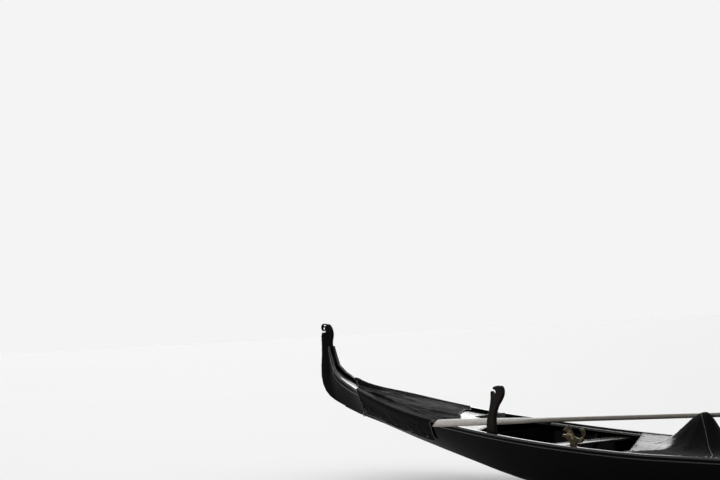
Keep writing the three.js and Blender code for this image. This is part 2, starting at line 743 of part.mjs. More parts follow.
const horseLines = facetLines(HORSE.station);
const horseFore = facetLines(HORSE.station + 100);
const horseReach = innerBreadth(horseLines, HORSE.station, HORSE.side, horseLines.sheer);
const horseShape = new THREE.Shape(HORSE_OUTLINE.map(([x, z]) => new THREE.Vector2(x, z)));
const horse = new THREE.ExtrudeGeometry(horseShape, {
  depth: 2 * HORSE.half - 8,
  bevelEnabled: true,
  bevelThickness: 4,
  bevelSize: 3,
  bevelOffset: -3,
  bevelSegments: 1,
});
horse.rotateX(Math.PI / 2);
horse.translate(0, HORSE.half - 4, 0);
horse.rotateY(Math.atan2(horseLines.sheer - horseFore.sheer, 100));
horse.translate(
  HORSE.station - MID_STATION,
  HORSE.side * (horseReach - SEAT - INWALE.width / 2),
  horseLines.sheer + GAP,
);
addNode('sea_horse', horse, brass);

// Crest on the aft end of the bow deck, a low wedge with a carved top
const CREST = { from: 7810, to: 8100, half: 120, rise: 120 };
addNode('bow_deck_crest', loftAlong(CREST.from, CREST.to, (station, lines) => {
  const share = (station - CREST.from) / (CREST.to - CREST.from);
  const deckTop = (y) => {
    const side = y < 0 ? -1 : 1;
    const low = lines.sheer - DECK.drop - DECK.thick;
    const edge = innerBreadth(lines, station, side, low) - DECK.clear;
    const crown = crownAt(lines, CROWN.bow);
    const t = Math.abs(y) / edge;
    const lift = t < 0.5 ? THREE.MathUtils.lerp(1, 0.75, t * 2) : THREE.MathUtils.lerp(0.75, 0, t * 2 - 1);
    return low + DECK.thick + crown * lift + SEAT;
  };
  const half = CREST.half * (1 - 0.6 * share);
  const rise = CREST.rise * (1 - share) + 14;
  return [
    at(station, -half, deckTop(half)),
    at(station, 0, deckTop(0)),
    at(station, half, deckTop(half)),
    at(station, half * 0.35, deckTop(0) + rise * 0.75),
    at(station, 0, deckTop(0) + rise),
    at(station, -half * 0.35, deckTop(0) + rise * 0.75),
  ];
}), varnish);

// Seat cover: a tarpaulin drawn up to a peak over the seat's back, and flat abaft it.
// It lies askew: its rings slope aft to port by the skew
const PEAK = {
  station: 5150, port: 120, rise: 328, aft: 372, fore: 202, side: 158, fall: 1.15, power: 2, skew: 0.74,
};

function tentRise(station, y) {
  const along2 = station - PEAK.station + PEAK.skew * (y - PEAK.port);
  const reach = along2 < 0 ? PEAK.aft : PEAK.fore;
  const r = Math.hypot(along2 / reach, (y - PEAK.port) / PEAK.side);
  return PEAK.rise * Math.exp(-PEAK.fall * r ** PEAK.power);
}

function coverEdge(lines, side) {
  return side * (lines.breadth[side] - RAIL.inboard - 6);
}

// Shares of the way across, with the peak at the middle one
const ACROSS = [-1, -0.75, -0.5, -0.34, -0.24, -0.16, -0.09, 0, 0.09, 0.16, 0.24, 0.34, 0.5, 0.75, 1];
const SEAT_STATIONS = [
  4306, 4480, 4620, 4720, 4800, 4870, 4930, 4990, 5045, 5100, 5150, 5200, 5245, 5290, 5340, 5400, 5520,
  5680, 5850,
];
const SEAT_COVER_TO = SEAT_STATIONS[SEAT_STATIONS.length - 1];

function coverPoint(ring, share) {
  const fade = THREE.MathUtils.clamp((SEAT_COVER_TO - ring) / (SEAT_COVER_TO - PEAK.station), 0, 1);
  const across = (lines) => {
    return THREE.MathUtils.lerp(PEAK.port, coverEdge(lines, share < 0 ? -1 : 1), Math.abs(share));
  };
  const skewed = (y) => ring - fade * PEAK.skew * (y - PEAK.port);
  const station = skewed(across(facetLines(skewed(across(facetLines(ring))))));
  const lines = facetLines(station);
  const y = across(lines);
  const rise = Math.abs(share) === 1 ? 0 : tentRise(station, y);
  return at(station, y, lines.sheer + GAP + rise);
}

addNode('seat_cover', loft(SEAT_STATIONS.map((ring) => {
  const top = ACROSS.map((share) => coverPoint(ring, share));
  return [...top, ...top.map((p) => p.clone().setZ(p.z + SEAT_COVER.thick)).reverse()];
})), tarpaulin);

// Seat: a box on the floorboards with an arched back that carries the cover
const SEATS = {
  from: 5190, to: 5680, half: 330, high: 340, back: 5136, backThick: 28, backHalf: 300, under: 22,
};

function boardsTop(lines) {
  return lines.bottom + BOTTOM_PLANK + SEAT + RIB.depth + GAP + FLOOR.thick;
}

addNode('seat_box', loftAlong(SEATS.from, SEATS.to, (station, lines) => {
  const low = boardsTop(lines) + GAP;
  return [
    at(station, PEAK.port - SEATS.half, low),
    at(station, PEAK.port + SEATS.half, low),
    at(station, PEAK.port + SEATS.half, low + SEATS.high),
    at(station, PEAK.port - SEATS.half, low + SEATS.high),
  ];
}), varnish);

const backLines = facetLines(SEATS.back);
const backFoot = boardsTop(backLines) + GAP;
const backArch = Array.from({ length: 13 }, (_, k) => {
  const y = PEAK.port + SEATS.backHalf * (1 - k / 6);
  const faces = [SEATS.back, SEATS.back + SEATS.backThick];
  const rise = Math.min(...faces.map((station) => tentRise(station, y)));
  return new THREE.Vector2(y, backLines.sheer + rise - SEATS.under);
});
const backShape = new THREE.Shape([
  new THREE.Vector2(PEAK.port + SEATS.backHalf, backFoot),
  ...backArch,
  new THREE.Vector2(PEAK.port - SEATS.backHalf, backFoot),
]);
const seatBack = new THREE.ExtrudeGeometry(backShape, { depth: SEATS.backThick, bevelEnabled: false });
seatBack.rotateX(Math.PI / 2);
seatBack.rotateZ(Math.PI / 2);
seatBack.translate(SEATS.back - MID_STATION, 0, 0);
addNode('seat_back', seatBack, varnish);

// Stern cover: a tarpaulin over the deck and both rails, with a skirt down each side
function coverPath(station, lines) {
  const half = (side) => {
    const high = lines.sheer + GAP + RAIL.height * sheerSteepness(station);
    const outer = lines.breadth[side] + RAIL.outboard + COVER.clear;
    const seam = lines.sheer - 70;
    const hem = lines.sheer - COVER.skirt;
    const low = lines.sheer - DECK.drop;
    const skin = (z) => innerBreadth(lines, station, side, z, 0) + MOULDING.proud + MOULDING.clear + 3;
    const inner = lines.breadth[side] - RAIL.inboard;
    return [
      [skin(hem), hem, 1, 0],
      [skin(seam), seam, 1, 0],
      [outer + 1, lines.sheer - 8, 1, 0],
      [outer, high - 3, 1, 0.3],
      [outer - 4, high + COVER.clear, 0.4, 1],
      [inner, high + COVER.clear, 0, 1],
      [inner * 0.55, Math.max(low + crownAt(lines) * 0.78, low + 8) + 6, 0, 1],
    ].map(([y, z, outY, outZ]) => ({ y: side * y, z, outY: side * outY, outZ }));
  };
  const middle = { y: 0, z: lines.sheer - DECK.drop + crownAt(lines) + 6, outY: 0, outZ: 1 };
  return [...half(-1), middle, ...half(1).reverse()];
}

addNode('stern_cover', loftAlong(COVER.from, COVER.to, (station, lines) => {
  const path = coverPath(station, lines);
  return [
    ...path.map((p) => at(station, p.y, p.z)),
    ...path.map((p) => at(station, p.y + p.outY * COVER.thick, p.z + p.outZ * COVER.thick)).reverse(),
  ];
}), tarpaulin);

// Foot rest, a wedge on the stern deck that the rower braces against
const WEDGE = { from: 2340, to: 2600, starboard: -60, port: 110, low: 8, high: 62 };
addNode('foot_rest', loftAlong(WEDGE.from, WEDGE.to, (station, lines) => {
  const share = (station - WEDGE.from) / (WEDGE.to - WEDGE.from);
  const base = lines.sheer - DECK.drop + crownAt(lines) + SEAT;
  return [
    at(station, WEDGE.starboard, base),
    at(station, WEDGE.port, base),
    at(station, WEDGE.port, base + THREE.MathUtils.lerp(WEDGE.low, WEDGE.high, share)),
    at(station, WEDGE.starboard, base + THREE.MathUtils.lerp(WEDGE.low, WEDGE.high, share)),
  ];
}), varnish);

// Tie of the stern cover, a cord from hem to hem under the bottom
const TIE = { radius: 4, station: 640, clear: 0.4 };

function tieCurve() {
  const skin = (station, side, share, out) => {
    const lines = facetLines(station);
    const z = THREE.MathUtils.lerp(lines.bottom, lines.sheer, share);
    return at(station, side * (innerBreadth(lines, station, side, z, 0) + out), z);
  };
  const onSkirt = MOULDING.proud + MOULDING.clear + 3 + COVER.thick + TIE.radius + TIE.clear;
  const bottom = facetLines(TIE.station).bottom;
  const chine = facetLines(TIE.station).chine;
  const under = bottom - TIE.radius - 2 * TIE.clear;
  const half = (side) => [
    skin(800, side, 0.42, onSkirt + 2),
    skin(735, side, 0.32, onSkirt + 1),
    skin(690, side, 0.2, TIE.radius + 8),
    at(TIE.station, side * (chine[side] + 9), bottom - 2),
    at(TIE.station, side * chine[side] * 0.5, under),
  ];
  return new THREE.CatmullRomCurve3([...half(-1), ...half(1).reverse()], false, 'centripetal');
}

const tieRound = arcPoints(0, 0, TIE.radius, 0, 315, 7).map(([x, y]) => new THREE.Vector2(x, y));
const tieSection = new THREE.Shape(tieRound);
addNode('cover_tie', new THREE.ExtrudeGeometry(tieSection, {
  steps: 48,
  bevelEnabled: false,
  extrudePath: tieCurve(),
}), rope);

export default boat;
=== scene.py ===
import json
import math

import bpy
from mathutils import Matrix, Vector, noise


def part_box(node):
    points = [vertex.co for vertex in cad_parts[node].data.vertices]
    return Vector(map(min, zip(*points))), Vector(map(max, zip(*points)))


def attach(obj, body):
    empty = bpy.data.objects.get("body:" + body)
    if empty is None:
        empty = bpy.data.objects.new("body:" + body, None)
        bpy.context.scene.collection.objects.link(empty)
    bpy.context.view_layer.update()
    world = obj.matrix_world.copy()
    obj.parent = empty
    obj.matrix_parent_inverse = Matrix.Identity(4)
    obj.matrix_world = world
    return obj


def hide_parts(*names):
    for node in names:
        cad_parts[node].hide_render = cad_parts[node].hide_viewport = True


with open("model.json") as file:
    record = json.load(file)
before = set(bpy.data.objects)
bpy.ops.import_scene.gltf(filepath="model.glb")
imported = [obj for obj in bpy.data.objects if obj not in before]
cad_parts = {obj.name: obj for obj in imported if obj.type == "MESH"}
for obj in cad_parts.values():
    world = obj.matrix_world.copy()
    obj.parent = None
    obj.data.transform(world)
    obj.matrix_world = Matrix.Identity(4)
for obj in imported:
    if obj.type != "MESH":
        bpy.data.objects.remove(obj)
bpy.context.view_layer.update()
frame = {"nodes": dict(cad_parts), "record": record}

bl_info = {
    "name": "Gondola boat",
    "version": (1, 0, 0),
    "blender": (4, 5, 0),
    "location": "View3D > Sidebar > Gondola",
    "description": "Dresses the packed gondola: faired planking, covers, oar, iron, brass and stage",
    "category": "Add Mesh",
}

WATERLINE = frame["record"]["mounts"][-1]["pos_m"][2]
# Station of the frame's origin, from the stern end of the planking
MIDDLE = 5.33

# Hull lines in metres. Columns: station, bottom height, chine half-breadth to starboard and to port,
# sheer height, sheer half-breadth to starboard and to port
LINES = [
    (0.05, 0.958, 0.033, 0.033, 1.450, 0.040, 0.038),
    (0.08, 0.932, 0.0335, 0.0335, 1.336, 0.045, 0.043),
    (0.12, 0.906, 0.034, 0.034, 1.256, 0.054, 0.050),
    (0.20, 0.872, 0.039, 0.039, 1.188, 0.076, 0.071),
    (0.30, 0.838, 0.045, 0.045, 1.133, 0.098, 0.092),
    (0.56, 0.768, 0.064, 0.066, 1.044, 0.148, 0.152),
    (1.00, 0.678, 0.098, 0.104, 0.953, 0.284, 0.297),
    (1.50, 0.566, 0.146, 0.162, 0.850, 0.385, 0.445),
    (2.00, 0.466, 0.202, 0.228, 0.768, 0.438, 0.556),
    (2.50, 0.368, 0.252, 0.294, 0.711, 0.484, 0.645),
    (3.00, 0.270, 0.298, 0.352, 0.662, 0.534, 0.716),
    (3.50, 0.188, 0.332, 0.400, 0.620, 0.566, 0.766),
    (4.00, 0.112, 0.354, 0.436, 0.584, 0.590, 0.803),
    (4.50, 0.050, 0.366, 0.458, 0.564, 0.600, 0.818),
    (5.05, 0.000, 0.372, 0.470, 0.548, 0.605, 0.824),
    (5.85, 0.000, 0.370, 0.468, 0.548, 0.600, 0.812),
    (6.60, 0.000, 0.356, 0.450, 0.566, 0.580, 0.776),
    (7.20, 0.044, 0.332, 0.416, 0.594, 0.552, 0.724),
    (7.80, 0.118, 0.298, 0.368, 0.634, 0.508, 0.646),
    (8.40, 0.212, 0.252, 0.304, 0.690, 0.448, 0.548),
    (9.00, 0.324, 0.198, 0.230, 0.766, 0.366, 0.428),
    (9.60, 0.452, 0.134, 0.150, 0.874, 0.258, 0.288),
    (10.05, 0.572, 0.076, 0.082, 1.008, 0.146, 0.156),
    (10.35, 0.660, 0.042, 0.042, 1.130, 0.066, 0.068),
    (10.45, 0.696, 0.0335, 0.0335, 1.180, 0.035, 0.035),
]
PORT = 1
STARBOARD = -1
FLARE_BULGE = 0.3
RAIL_INBOARD = 0.028
RAIL_OUTBOARD = 0.010
RAIL_HIGH = 0.018
DECK_DROP = 0.024
CROWN = 0.07
STRAKE = 0.016


# Sizes and colours
class GONDOLA_PG_sizes(bpy.types.PropertyGroup):
    ease: bpy.props.FloatProperty(
        name="Eased edges", description="Radius worked on the edges of the boards",
        default=0.002, min=0.0005, max=0.01, unit="LENGTH")
    cloth: bpy.props.FloatProperty(
        name="Tarpaulin", description="Thickness of the covers",
        default=0.002, min=0.0005, max=0.004, unit="LENGTH")
    fold: bpy.props.FloatProperty(
        name="Folds", description="Height of the covers' folds",
        default=0.014, min=0.0, max=0.03, unit="LENGTH")
    stage_reach: bpy.props.FloatProperty(
        name="Stage", description="Radius of the floor",
        default=90.0, min=20.0, max=200.0, unit="LENGTH")
    sky_bright: bpy.props.FloatProperty(
        name="Bright side", description="Strength of the light from beyond the boat", default=0.93, min=0.0, max=4.0)
    glow: bpy.props.FloatProperty(
        name="Glow", description="Strength of the soft lamp beyond the boat", default=3.5, min=0.0, max=60.0)
    sky_dark: bpy.props.FloatProperty(
        name="Dark side", description="Strength of the light from the camera's side", default=0.09, min=0.0, max=4.0)
    backdrop: bpy.props.FloatProperty(
        name="Backdrop", description="Brightness of the plain background", default=0.905, min=0.0, max=1.0)


def colour(name, description, value):
    return bpy.props.FloatVectorProperty(
        name=name, description=description, default=value, size=4, min=0.0, max=1.0, subtype="COLOR")


class GONDOLA_PG_colours(bpy.types.PropertyGroup):
    lacquer: colour("Lacquer", "Black paint of the hull", (0.002, 0.002, 0.0023, 1.0))
    varnish: colour("Varnish", "Dark stained boards under varnish", (0.007, 0.0065, 0.006, 1.0))
    walnut: colour("Walnut", "Crutch", (0.006, 0.0045, 0.0035, 1.0))
    oar: colour("Oar", "Worn ash of the oar", (0.27, 0.245, 0.21, 1.0))
    tarpaulin: colour("Tarpaulin", "Cover cloth", (0.0030, 0.0032, 0.0038, 1.0))
    steel: colour("Steel", "Bow iron", (0.50, 0.51, 0.53, 1.0))
    brass: colour("Brass", "Sea-horse and eyelets", (0.30, 0.235, 0.13, 1.0))
    rope: colour("Rope", "Tie of the stern cover", (0.22, 0.20, 0.165, 1.0))
    floor: colour("Floor", "Pale floor", (0.82, 0.82, 0.82, 1.0))


def sizes():
    return bpy.context.scene.gondola_sizes


def colours():
    return bpy.context.scene.gondola_colours


# Hull lines: smooth curves through the rows of LINES
def line_slope(i, column):
    before, here, after = LINES[max(i - 1, 0)], LINES[i], LINES[min(i + 1, len(LINES) - 1)]
    turns = (after[column] - here[column]) * (here[column] - before[column]) <= 0
    inside = 0 < i < len(LINES) - 1
    return 0 if inside and turns else (after[column] - before[column]) / (after[0] - before[0])


def line_value(station, column):
    i = 0
    while i < len(LINES) - 2 and station > LINES[i + 1][0]:
        i += 1
    low, high = LINES[i], LINES[i + 1]
    span = high[0] - low[0]
    t = min(max((station - low[0]) / span, 0), 1)
    m0, m1 = line_slope(i, column) * span, line_slope(i + 1, column) * span
    return ((2 * t**3 - 3 * t**2 + 1) * low[column] + (t**3 - 2 * t**2 + t) * m0
            + (3 * t**2 - 2 * t**3) * high[column] + (t**3 - t**2) * m1)


class Lines:
    """The hull's lines at one station."""

    def __init__(self, station):
        self.bottom = line_value(station, 1)
        self.chine = {STARBOARD: line_value(station, 2), PORT: line_value(station, 3)}
        self.sheer = line_value(station, 4)
        self.breadth = {STARBOARD: line_value(station, 5), PORT: line_value(station, 6)}

    def skin(self, side, z):
        share = (z - self.bottom) / (self.sheer - self.bottom)
        bulge = FLARE_BULGE * share * (1 - share)
        return self.chine[side] + (self.breadth[side] - self.chine[side]) * (share + bulge)


def mix(a, b, t):
    return a + (b - a) * t


def smooth(low, high, x):
    """0 before low, 1 after high, and an even rise between them."""
    t = min(max((x - low) / (high - low), 0), 1)
    return t * t * (3 - 2 * t)


def spline(points, t):
    """A point on the smooth curve through the points, t from 0 to 1."""
    place = t * (len(points) - 1)
    i = min(int(place), len(points) - 2)
    f = place - i
    p0, p1 = points[max(i - 1, 0)], points[i]
    p2, p3 = points[i + 1], points[min(i + 2, len(points) - 1)]
    return 0.5 * (2 * p1 + (p2 - p0) * f + (2 * p0 - 5 * p1 + 4 * p2 - p3) * f**2
                  + (3 * p1 - p0 - 3 * p2 + p3) * f**3)


# Working on objects
def activate(obj):
    bpy.ops.object.select_all(action="DESELECT")
    obj.select_set(True)
    bpy.context.view_layer.objects.active = obj


def edit(obj, *steps):
    """Does the steps in edit mode, with the whole mesh selected."""
    activate(obj)
    bpy.ops.object.mode_set(mode="EDIT")
    bpy.ops.mesh.select_all(action="SELECT")
    for step in steps:
        step()
    bpy.ops.object.mode_set(mode="OBJECT")


def modify(obj, kind, **settings):
    """Adds a modifier and applies it."""
    activate(obj)
    modifier = obj.modifiers.new(kind.title(), kind)
    for key, value in settings.items():
        setattr(modifier, key, value)
    bpy.ops.object.modifier_apply(modifier=modifier.name)


def finish_piece(obj, name, look, body, *replaced):
    """Gives a piece its name and finish and its body, and hides the nodes that it stands for."""
    activate(obj)
    bpy.ops.object.transform_apply(location=True, rotation=True, scale=True)
    obj.name = name
    obj.data.name = name
    obj.data.materials.clear()
    obj.data.materials.append(finish(look))
    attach(obj, body)
    if replaced:
        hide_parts(*replaced)
    return obj


MERGED = 0.00002


def merged_copy(node):
    """A node's mesh as a new object, with its triangles joined up into quads."""
    source = frame["nodes"][node]
    obj = bpy.data.objects.new(node + "_copy", source.data.copy())
    bpy.context.scene.collection.objects.link(obj)
    edit(obj, bpy.ops.mesh.customdata_custom_splitnormals_clear,
         lambda: bpy.ops.mesh.remove_doubles(threshold=MERGED), bpy.ops.mesh.tris_convert_to_quads)
    return obj


def crease_sharp(angle):
    bpy.ops.mesh.select_all(action="DESELECT")
    bpy.ops.mesh.edges_select_sharp(sharpness=math.radians(angle))
    bpy.ops.transform.edge_crease(value=1)
    bpy.ops.mesh.select_all(action="SELECT")


def face_outwards(obj):
    edit(obj, lambda: bpy.ops.mesh.normals_make_consistent(inside=False))


def smooth_shade(obj, angle=30):
    activate(obj)
    bpy.ops.object.shade_smooth_by_angle(angle=math.radians(angle))


def faired(node, levels, ease=None, sharp=25, shape=None):
    """A node's shape with its long curves smoothed and its edges eased."""
    obj = merged_copy(node)
    if shape:
        shape(obj)
    if levels:
        edit(obj, lambda: crease_sharp(sharp))
        modify(obj, "SUBSURF", levels=levels, render_levels=levels)
    modify(obj, "BEVEL", width=ease or sizes().ease, segments=2, limit_method="ANGLE",
           angle_limit=math.radians(sharp + 10))
    smooth_shade(obj)
    return obj


def carved(node, voxel, rounds, rounded=0.0):
    """A node's shape with every edge worn round, as carved or cast work has."""
    obj = merged_copy(node)
    if rounded:
        modify(obj, "BEVEL", width=rounded, segments=3, limit_method="ANGLE",
               angle_limit=math.radians(50), use_clamp_overlap=False)
    modify(obj, "REMESH", mode="VOXEL", voxel_size=voxel)
    modify(obj, "SMOOTH", factor=0.5, iterations=rounds)
    face_outwards(obj)
    activate(obj)
    bpy.ops.object.shade_smooth()
    return obj


def dress(nodes, before, look, levels=0, ease=None, sharp=25, shapes=None):
    """Fairs and finishes pieces of the hull that are worked alike, each in its own node's place."""
    for node in nodes:
        obj = faired(node, levels, ease, sharp, (shapes or {}).get(node))
        finish_piece(obj, before + node, look, "hull", node)


# Material parts
def link(tree, value, socket):
    """Feeds a socket from another one, or sets it."""
    if isinstance(value, bpy.types.NodeSocket):
        tree.links.new(value, socket)
    else:
        socket.default_value = value


def put(tree, kind, inputs=None, **settings):
    """Adds a node with its inputs fed and its settings made."""
    node = tree.nodes.new(kind)
    for key, value in settings.items():
        setattr(node, key, value)
    for key, value in (inputs or {}).items():
        link(tree, value, node.inputs[key])
    return node


def maths(tree, operation, a, b=0.0, c=0.0):
    return put(tree, "ShaderNodeMath", {0: a, 1: b, 2: c}, operation=operation).outputs[0]


def between(tree, value, low, high, to_low=0.0, to_high=1.0):
    """A value carried softly from one span to another."""
    inputs = {"Value": value, "From Min": low, "From Max": high, "To Min": to_low, "To Max": to_high}
    return put(tree, "ShaderNodeMapRange", inputs, interpolation_type="SMOOTHSTEP").outputs[0]


def blend(tree, share, a, b):
    return put(tree, "ShaderNodeMix", {0: share, 6: a, 7: b}, data_type="RGBA").outputs[2]


def object_place(tree, scale=(1, 1, 1)):
    place = put(tree, "ShaderNodeTexCoord").outputs["Object"]
    return put(tree, "ShaderNodeMapping", {"Vector": place, "Scale": scale}).outputs[0]


def speckle(tree, vector, scale, detail=4.0, rough=0.55, twist=0.0):
    inputs = {"Vector": vector, "Scale": scale, "Detail": detail, "Roughness": rough, "Distortion": twist}
    return put(tree, "ShaderNodeTexNoise", inputs).outputs["Fac"]


def new_group(name, inputs, outputs):
    tree = bpy.data.node_groups.new(name, "ShaderNodeTree")
    for label, kind, value in inputs:
        socket = tree.interface.new_socket(name=label, in_out="INPUT", socket_type=kind)
        socket.default_value = value
    for label, kind in outputs:
        tree.interface.new_socket(name=label, in_out="OUTPUT", socket_type=kind)
    return tree, put(tree, "NodeGroupInput"), put(tree, "NodeGroupOutput")


FLOAT = "NodeSocketFloat"
VECTOR = "NodeSocketVector"


def grain_group():
    """Wood grain drawn out along one way."""
    tree, inside, out = new_group(
        "Wood grain",
        [("Scale", FLOAT, 1.0), ("Stretch", VECTOR, (1.0, 14.0, 14.0)), ("Twist", FLOAT, 0.6)],
        [("Grain", FLOAT), ("Pores", FLOAT)])
    place = put(tree, "ShaderNodeTexCoord").outputs["Object"]
    drawn = put(tree, "ShaderNodeVectorMath", {0: place, 1: inside.outputs["Stretch"]}, operation="MULTIPLY")
    bands = speckle(tree, drawn.outputs[0], inside.outputs["Scale"], 6.0, 0.6, inside.outputs["Twist"])
    fine = speckle(tree, drawn.outputs[0], maths(tree, "MULTIPLY", inside.outputs["Scale"], 7.0), 3.0, 0.5)
    link(tree, between(tree, bands, 0.3, 0.7), out.inputs["Grain"])
    link(tree, between(tree, fine, 0.42, 0.6), out.inputs["Pores"])
    return tree


def wear_group():
    """Where edges are rubbed bare, broken up by patches."""
    tree, inside, out = new_group(
        "Edge wear",
        [("Amount", FLOAT, 0.5), ("Patch", FLOAT, 6.0)],
        [("Mask", FLOAT), ("Patches", FLOAT)])
    place = object_place(tree)
    patches = speckle(tree, place, inside.outputs["Patch"], 5.0, 0.6)
    edge = put(tree, "ShaderNodeNewGeometry").outputs["Pointiness"]
    rubbed = between(tree, edge, 0.51, 0.60)
    broken = between(tree, patches, 0.42, 0.62)
    both = maths(tree, "MULTIPLY", rubbed, broken)
    link(tree, maths(tree, "MULTIPLY", both, inside.outputs["Amount"]), out.inputs["Mask"])
    link(tree, patches, out.inputs["Patches"])
    return tree


def dust_group():
    """Dust and dried salt on what faces up."""
    tree, inside, out = new_group(
        "Dust", [("Amount", FLOAT, 0.5), ("Scale", FLOAT, 3.0)], [("Mask", FLOAT)])
    normal = put(tree, "ShaderNodeNewGeometry").outputs["Normal"]
    up = put(tree, "ShaderNodeSeparateXYZ", {0: normal}).outputs["Z"]
    cover = between(tree, up, 0.2, 0.95)
    patches = between(tree, speckle(tree, object_place(tree), inside.outputs["Scale"], 7.0, 0.65), 0.4, 0.72)
    mask = maths(tree, "MULTIPLY", maths(tree, "MULTIPLY", cover, patches), inside.outputs["Amount"])
    link(tree, mask, out.inputs["Mask"])
    return tree


SALT_RAGGED = 0.1


def waterline_group():
    """A band of dried salt and weed over the water's edge."""
    tree, inside, out = new_group(
        "Waterline", [("Height", FLOAT, WATERLINE), ("Reach", FLOAT, 0.1)], [("Mask", FLOAT)])
    place = object_place(tree, (3, 3, 3))
    edge = speckle(tree, place, 2.0, 6.0, 0.6)
    height = put(tree, "ShaderNodeSeparateXYZ", {0: object_place(tree)}).outputs["Z"]
    over = maths(tree, "SUBTRACT", height, inside.outputs["Height"])
    ragged = maths(tree, "MULTIPLY_ADD", edge, -SALT_RAGGED, maths(tree, "ADD", over, SALT_RAGGED / 2))
    share = maths(tree, "DIVIDE", ragged, inside.outputs["Reach"])
    link(tree, between(tree, share, 1.0, 0.0), out.inputs["Mask"])
    return tree


def weave_group():
    """Plain weave on the piece's own map, in threads a metre."""
    tree, inside, out = new_group(
        "Weave", [("Threads", VECTOR, (1400.0, 1400.0, 1.0))], [("Height", FLOAT), ("Slub", FLOAT)])
    place = put(tree, "ShaderNodeTexCoord").outputs["UV"]
    scaled = put(tree, "ShaderNodeVectorMath", {0: place, 1: inside.outputs["Threads"]}, operation="MULTIPLY")
    parts = put(tree, "ShaderNodeSeparateXYZ", {0: scaled.outputs[0]})
    across = maths(tree, "SINE", maths(tree, "MULTIPLY", parts.outputs["X"], math.tau))
    along = maths(tree, "SINE", maths(tree, "MULTIPLY", parts.outputs["Y"], math.tau))
    link(tree, maths(tree, "MULTIPLY", across, along), out.inputs["Height"])
    slub = put(tree, "ShaderNodeMapping", {"Vector": scaled.outputs[0], "Scale": (0.01, 0.15, 1.0)})
    link(tree, speckle(tree, slub.outputs[0], 1.0, 3.0), out.inputs["Slub"])
    return tree


# Stitches: how far the two rows are in from the hem, half a thread's width, and the open share of each pitch
STITCH_ROWS = (0.012, 0.034)
STITCH_HALF = 0.0009
STITCH_OPEN = 0.35


def stitch_group():
    """Two rows of stitches along the hem, on the piece's own map. Size is the cloth's width and length."""
    tree, inside, out = new_group(
        "Stitches", [("Size", VECTOR, (1.5, 1.5, 1.0)), ("Pitch", FLOAT, 0.008)], [("Mask", FLOAT)])
    place = put(tree, "ShaderNodeTexCoord").outputs["UV"]
    measured = put(tree, "ShaderNodeVectorMath", {0: place, 1: inside.outputs["Size"]}, operation="MULTIPLY")
    here = put(tree, "ShaderNodeSeparateXYZ", {0: measured.outputs[0]})
    whole = put(tree, "ShaderNodeSeparateXYZ", {0: inside.outputs["Size"]})
    made = None
    for axis, other in (("X", "Y"), ("Y", "X")):
        far = maths(tree, "SUBTRACT", whole.outputs[axis], here.outputs[axis])
        edge = maths(tree, "MINIMUM", here.outputs[axis], far)
        share = maths(tree, "DIVIDE", here.outputs[other], inside.outputs["Pitch"])
        dash = maths(tree, "GREATER_THAN", maths(tree, "FRACT", share), STITCH_OPEN)
        for row in STITCH_ROWS:
            off = maths(tree, "ABSOLUTE", maths(tree, "SUBTRACT", edge, row))
            thread = maths(tree, "MULTIPLY", maths(tree, "LESS_THAN", off, STITCH_HALF), dash)
            made = thread if made is None else maths(tree, "MAXIMUM", made, thread)
    link(tree, made, out.inputs["Mask"])
    return tree


GROUPS = {}
MATERIALS = {}


def group(tree, name, **inputs):
    """Places a shared effect in a material, with the material's own values."""
    if name not in GROUPS:
        makers = {"Wood grain": grain_group, "Edge wear": wear_group, "Dust": dust_group,
                  "Waterline": waterline_group, "Weave": weave_group, "Stitches": stitch_group}
        GROUPS[name] = makers[name]()
    node = put(tree, "ShaderNodeGroup", node_tree=GROUPS[name])
    for key, value in inputs.items():
        link(tree, value, node.inputs[key.replace("_", " ")])
    return node


# Tones that lie over the base colours
RUBBED_LACQUER = (0.03, 0.027, 0.024, 1)
LACQUER_DUST = (0.08, 0.08, 0.08, 1)
SALT = (0.05, 0.052, 0.048, 1)
RUBBED_RAIL = (0.06, 0.055, 0.05, 1)
RAIL_DUST = (0.10, 0.10, 0.10, 1)
RUBBED_VARNISH = (0.08, 0.065, 0.05, 1)
VARNISH_DUST = (0.09, 0.09, 0.085, 1)
SEAM = (0.002, 0.002, 0.002, 1)
SEAM_HALF = 0.0025
RUBBED_WALNUT = (0.09, 0.07, 0.05, 1)
OAR_STAIN = (0.10, 0.09, 0.08, 1)
RUBBED_OAR = (0.5, 0.47, 0.42, 1)
SLUB = (0.012, 0.012, 0.013, 1)
THREAD = (0.06, 0.06, 0.06, 1)
CLOTH_DUST = (0.06, 0.06, 0.06, 1)
HEM_DARK = (0.05, 0.05, 0.052, 1)
HEM_LIGHT = (0.11, 0.11, 0.112, 1)
STEEL_TARNISH = (0.14, 0.13, 0.12, 1)
BRASS_TARNISH = (0.03, 0.024, 0.016, 1)
DECK_PLANK = 0.115
# The puddle, on its cloth's own map: where it ends ahead and outboard, how ragged its edge is, how it shines
PUDDLE = {"ahead": (0.32, 0.26), "inboard": (0.06, 0.11), "ragged": 0.16, "shine": 0.76}


def shaded(tone, factor):
    """A colour made lighter or darker."""
    return tuple(min(1, factor * c) for c in tuple(tone)[:3]) + (1,)


def material(name):
    """An empty material of one shader, with its tree."""
    made = bpy.data.materials.new(name)
    made.use_nodes = True
    tree = made.node_tree
    return made, tree, tree.nodes["Principled BSDF"]


def bump(tree, height, distance, strength=1.0, under=None):
    inputs = {"Height": height, "Distance": distance, "Strength": strength}
    if under is not None:
        inputs["Normal"] = under
    return put(tree, "ShaderNodeBump", inputs).outputs[0]


def set_up(tree, shader, inputs):
    for key, value in inputs.items():
        link(tree, value, shader.inputs[key])


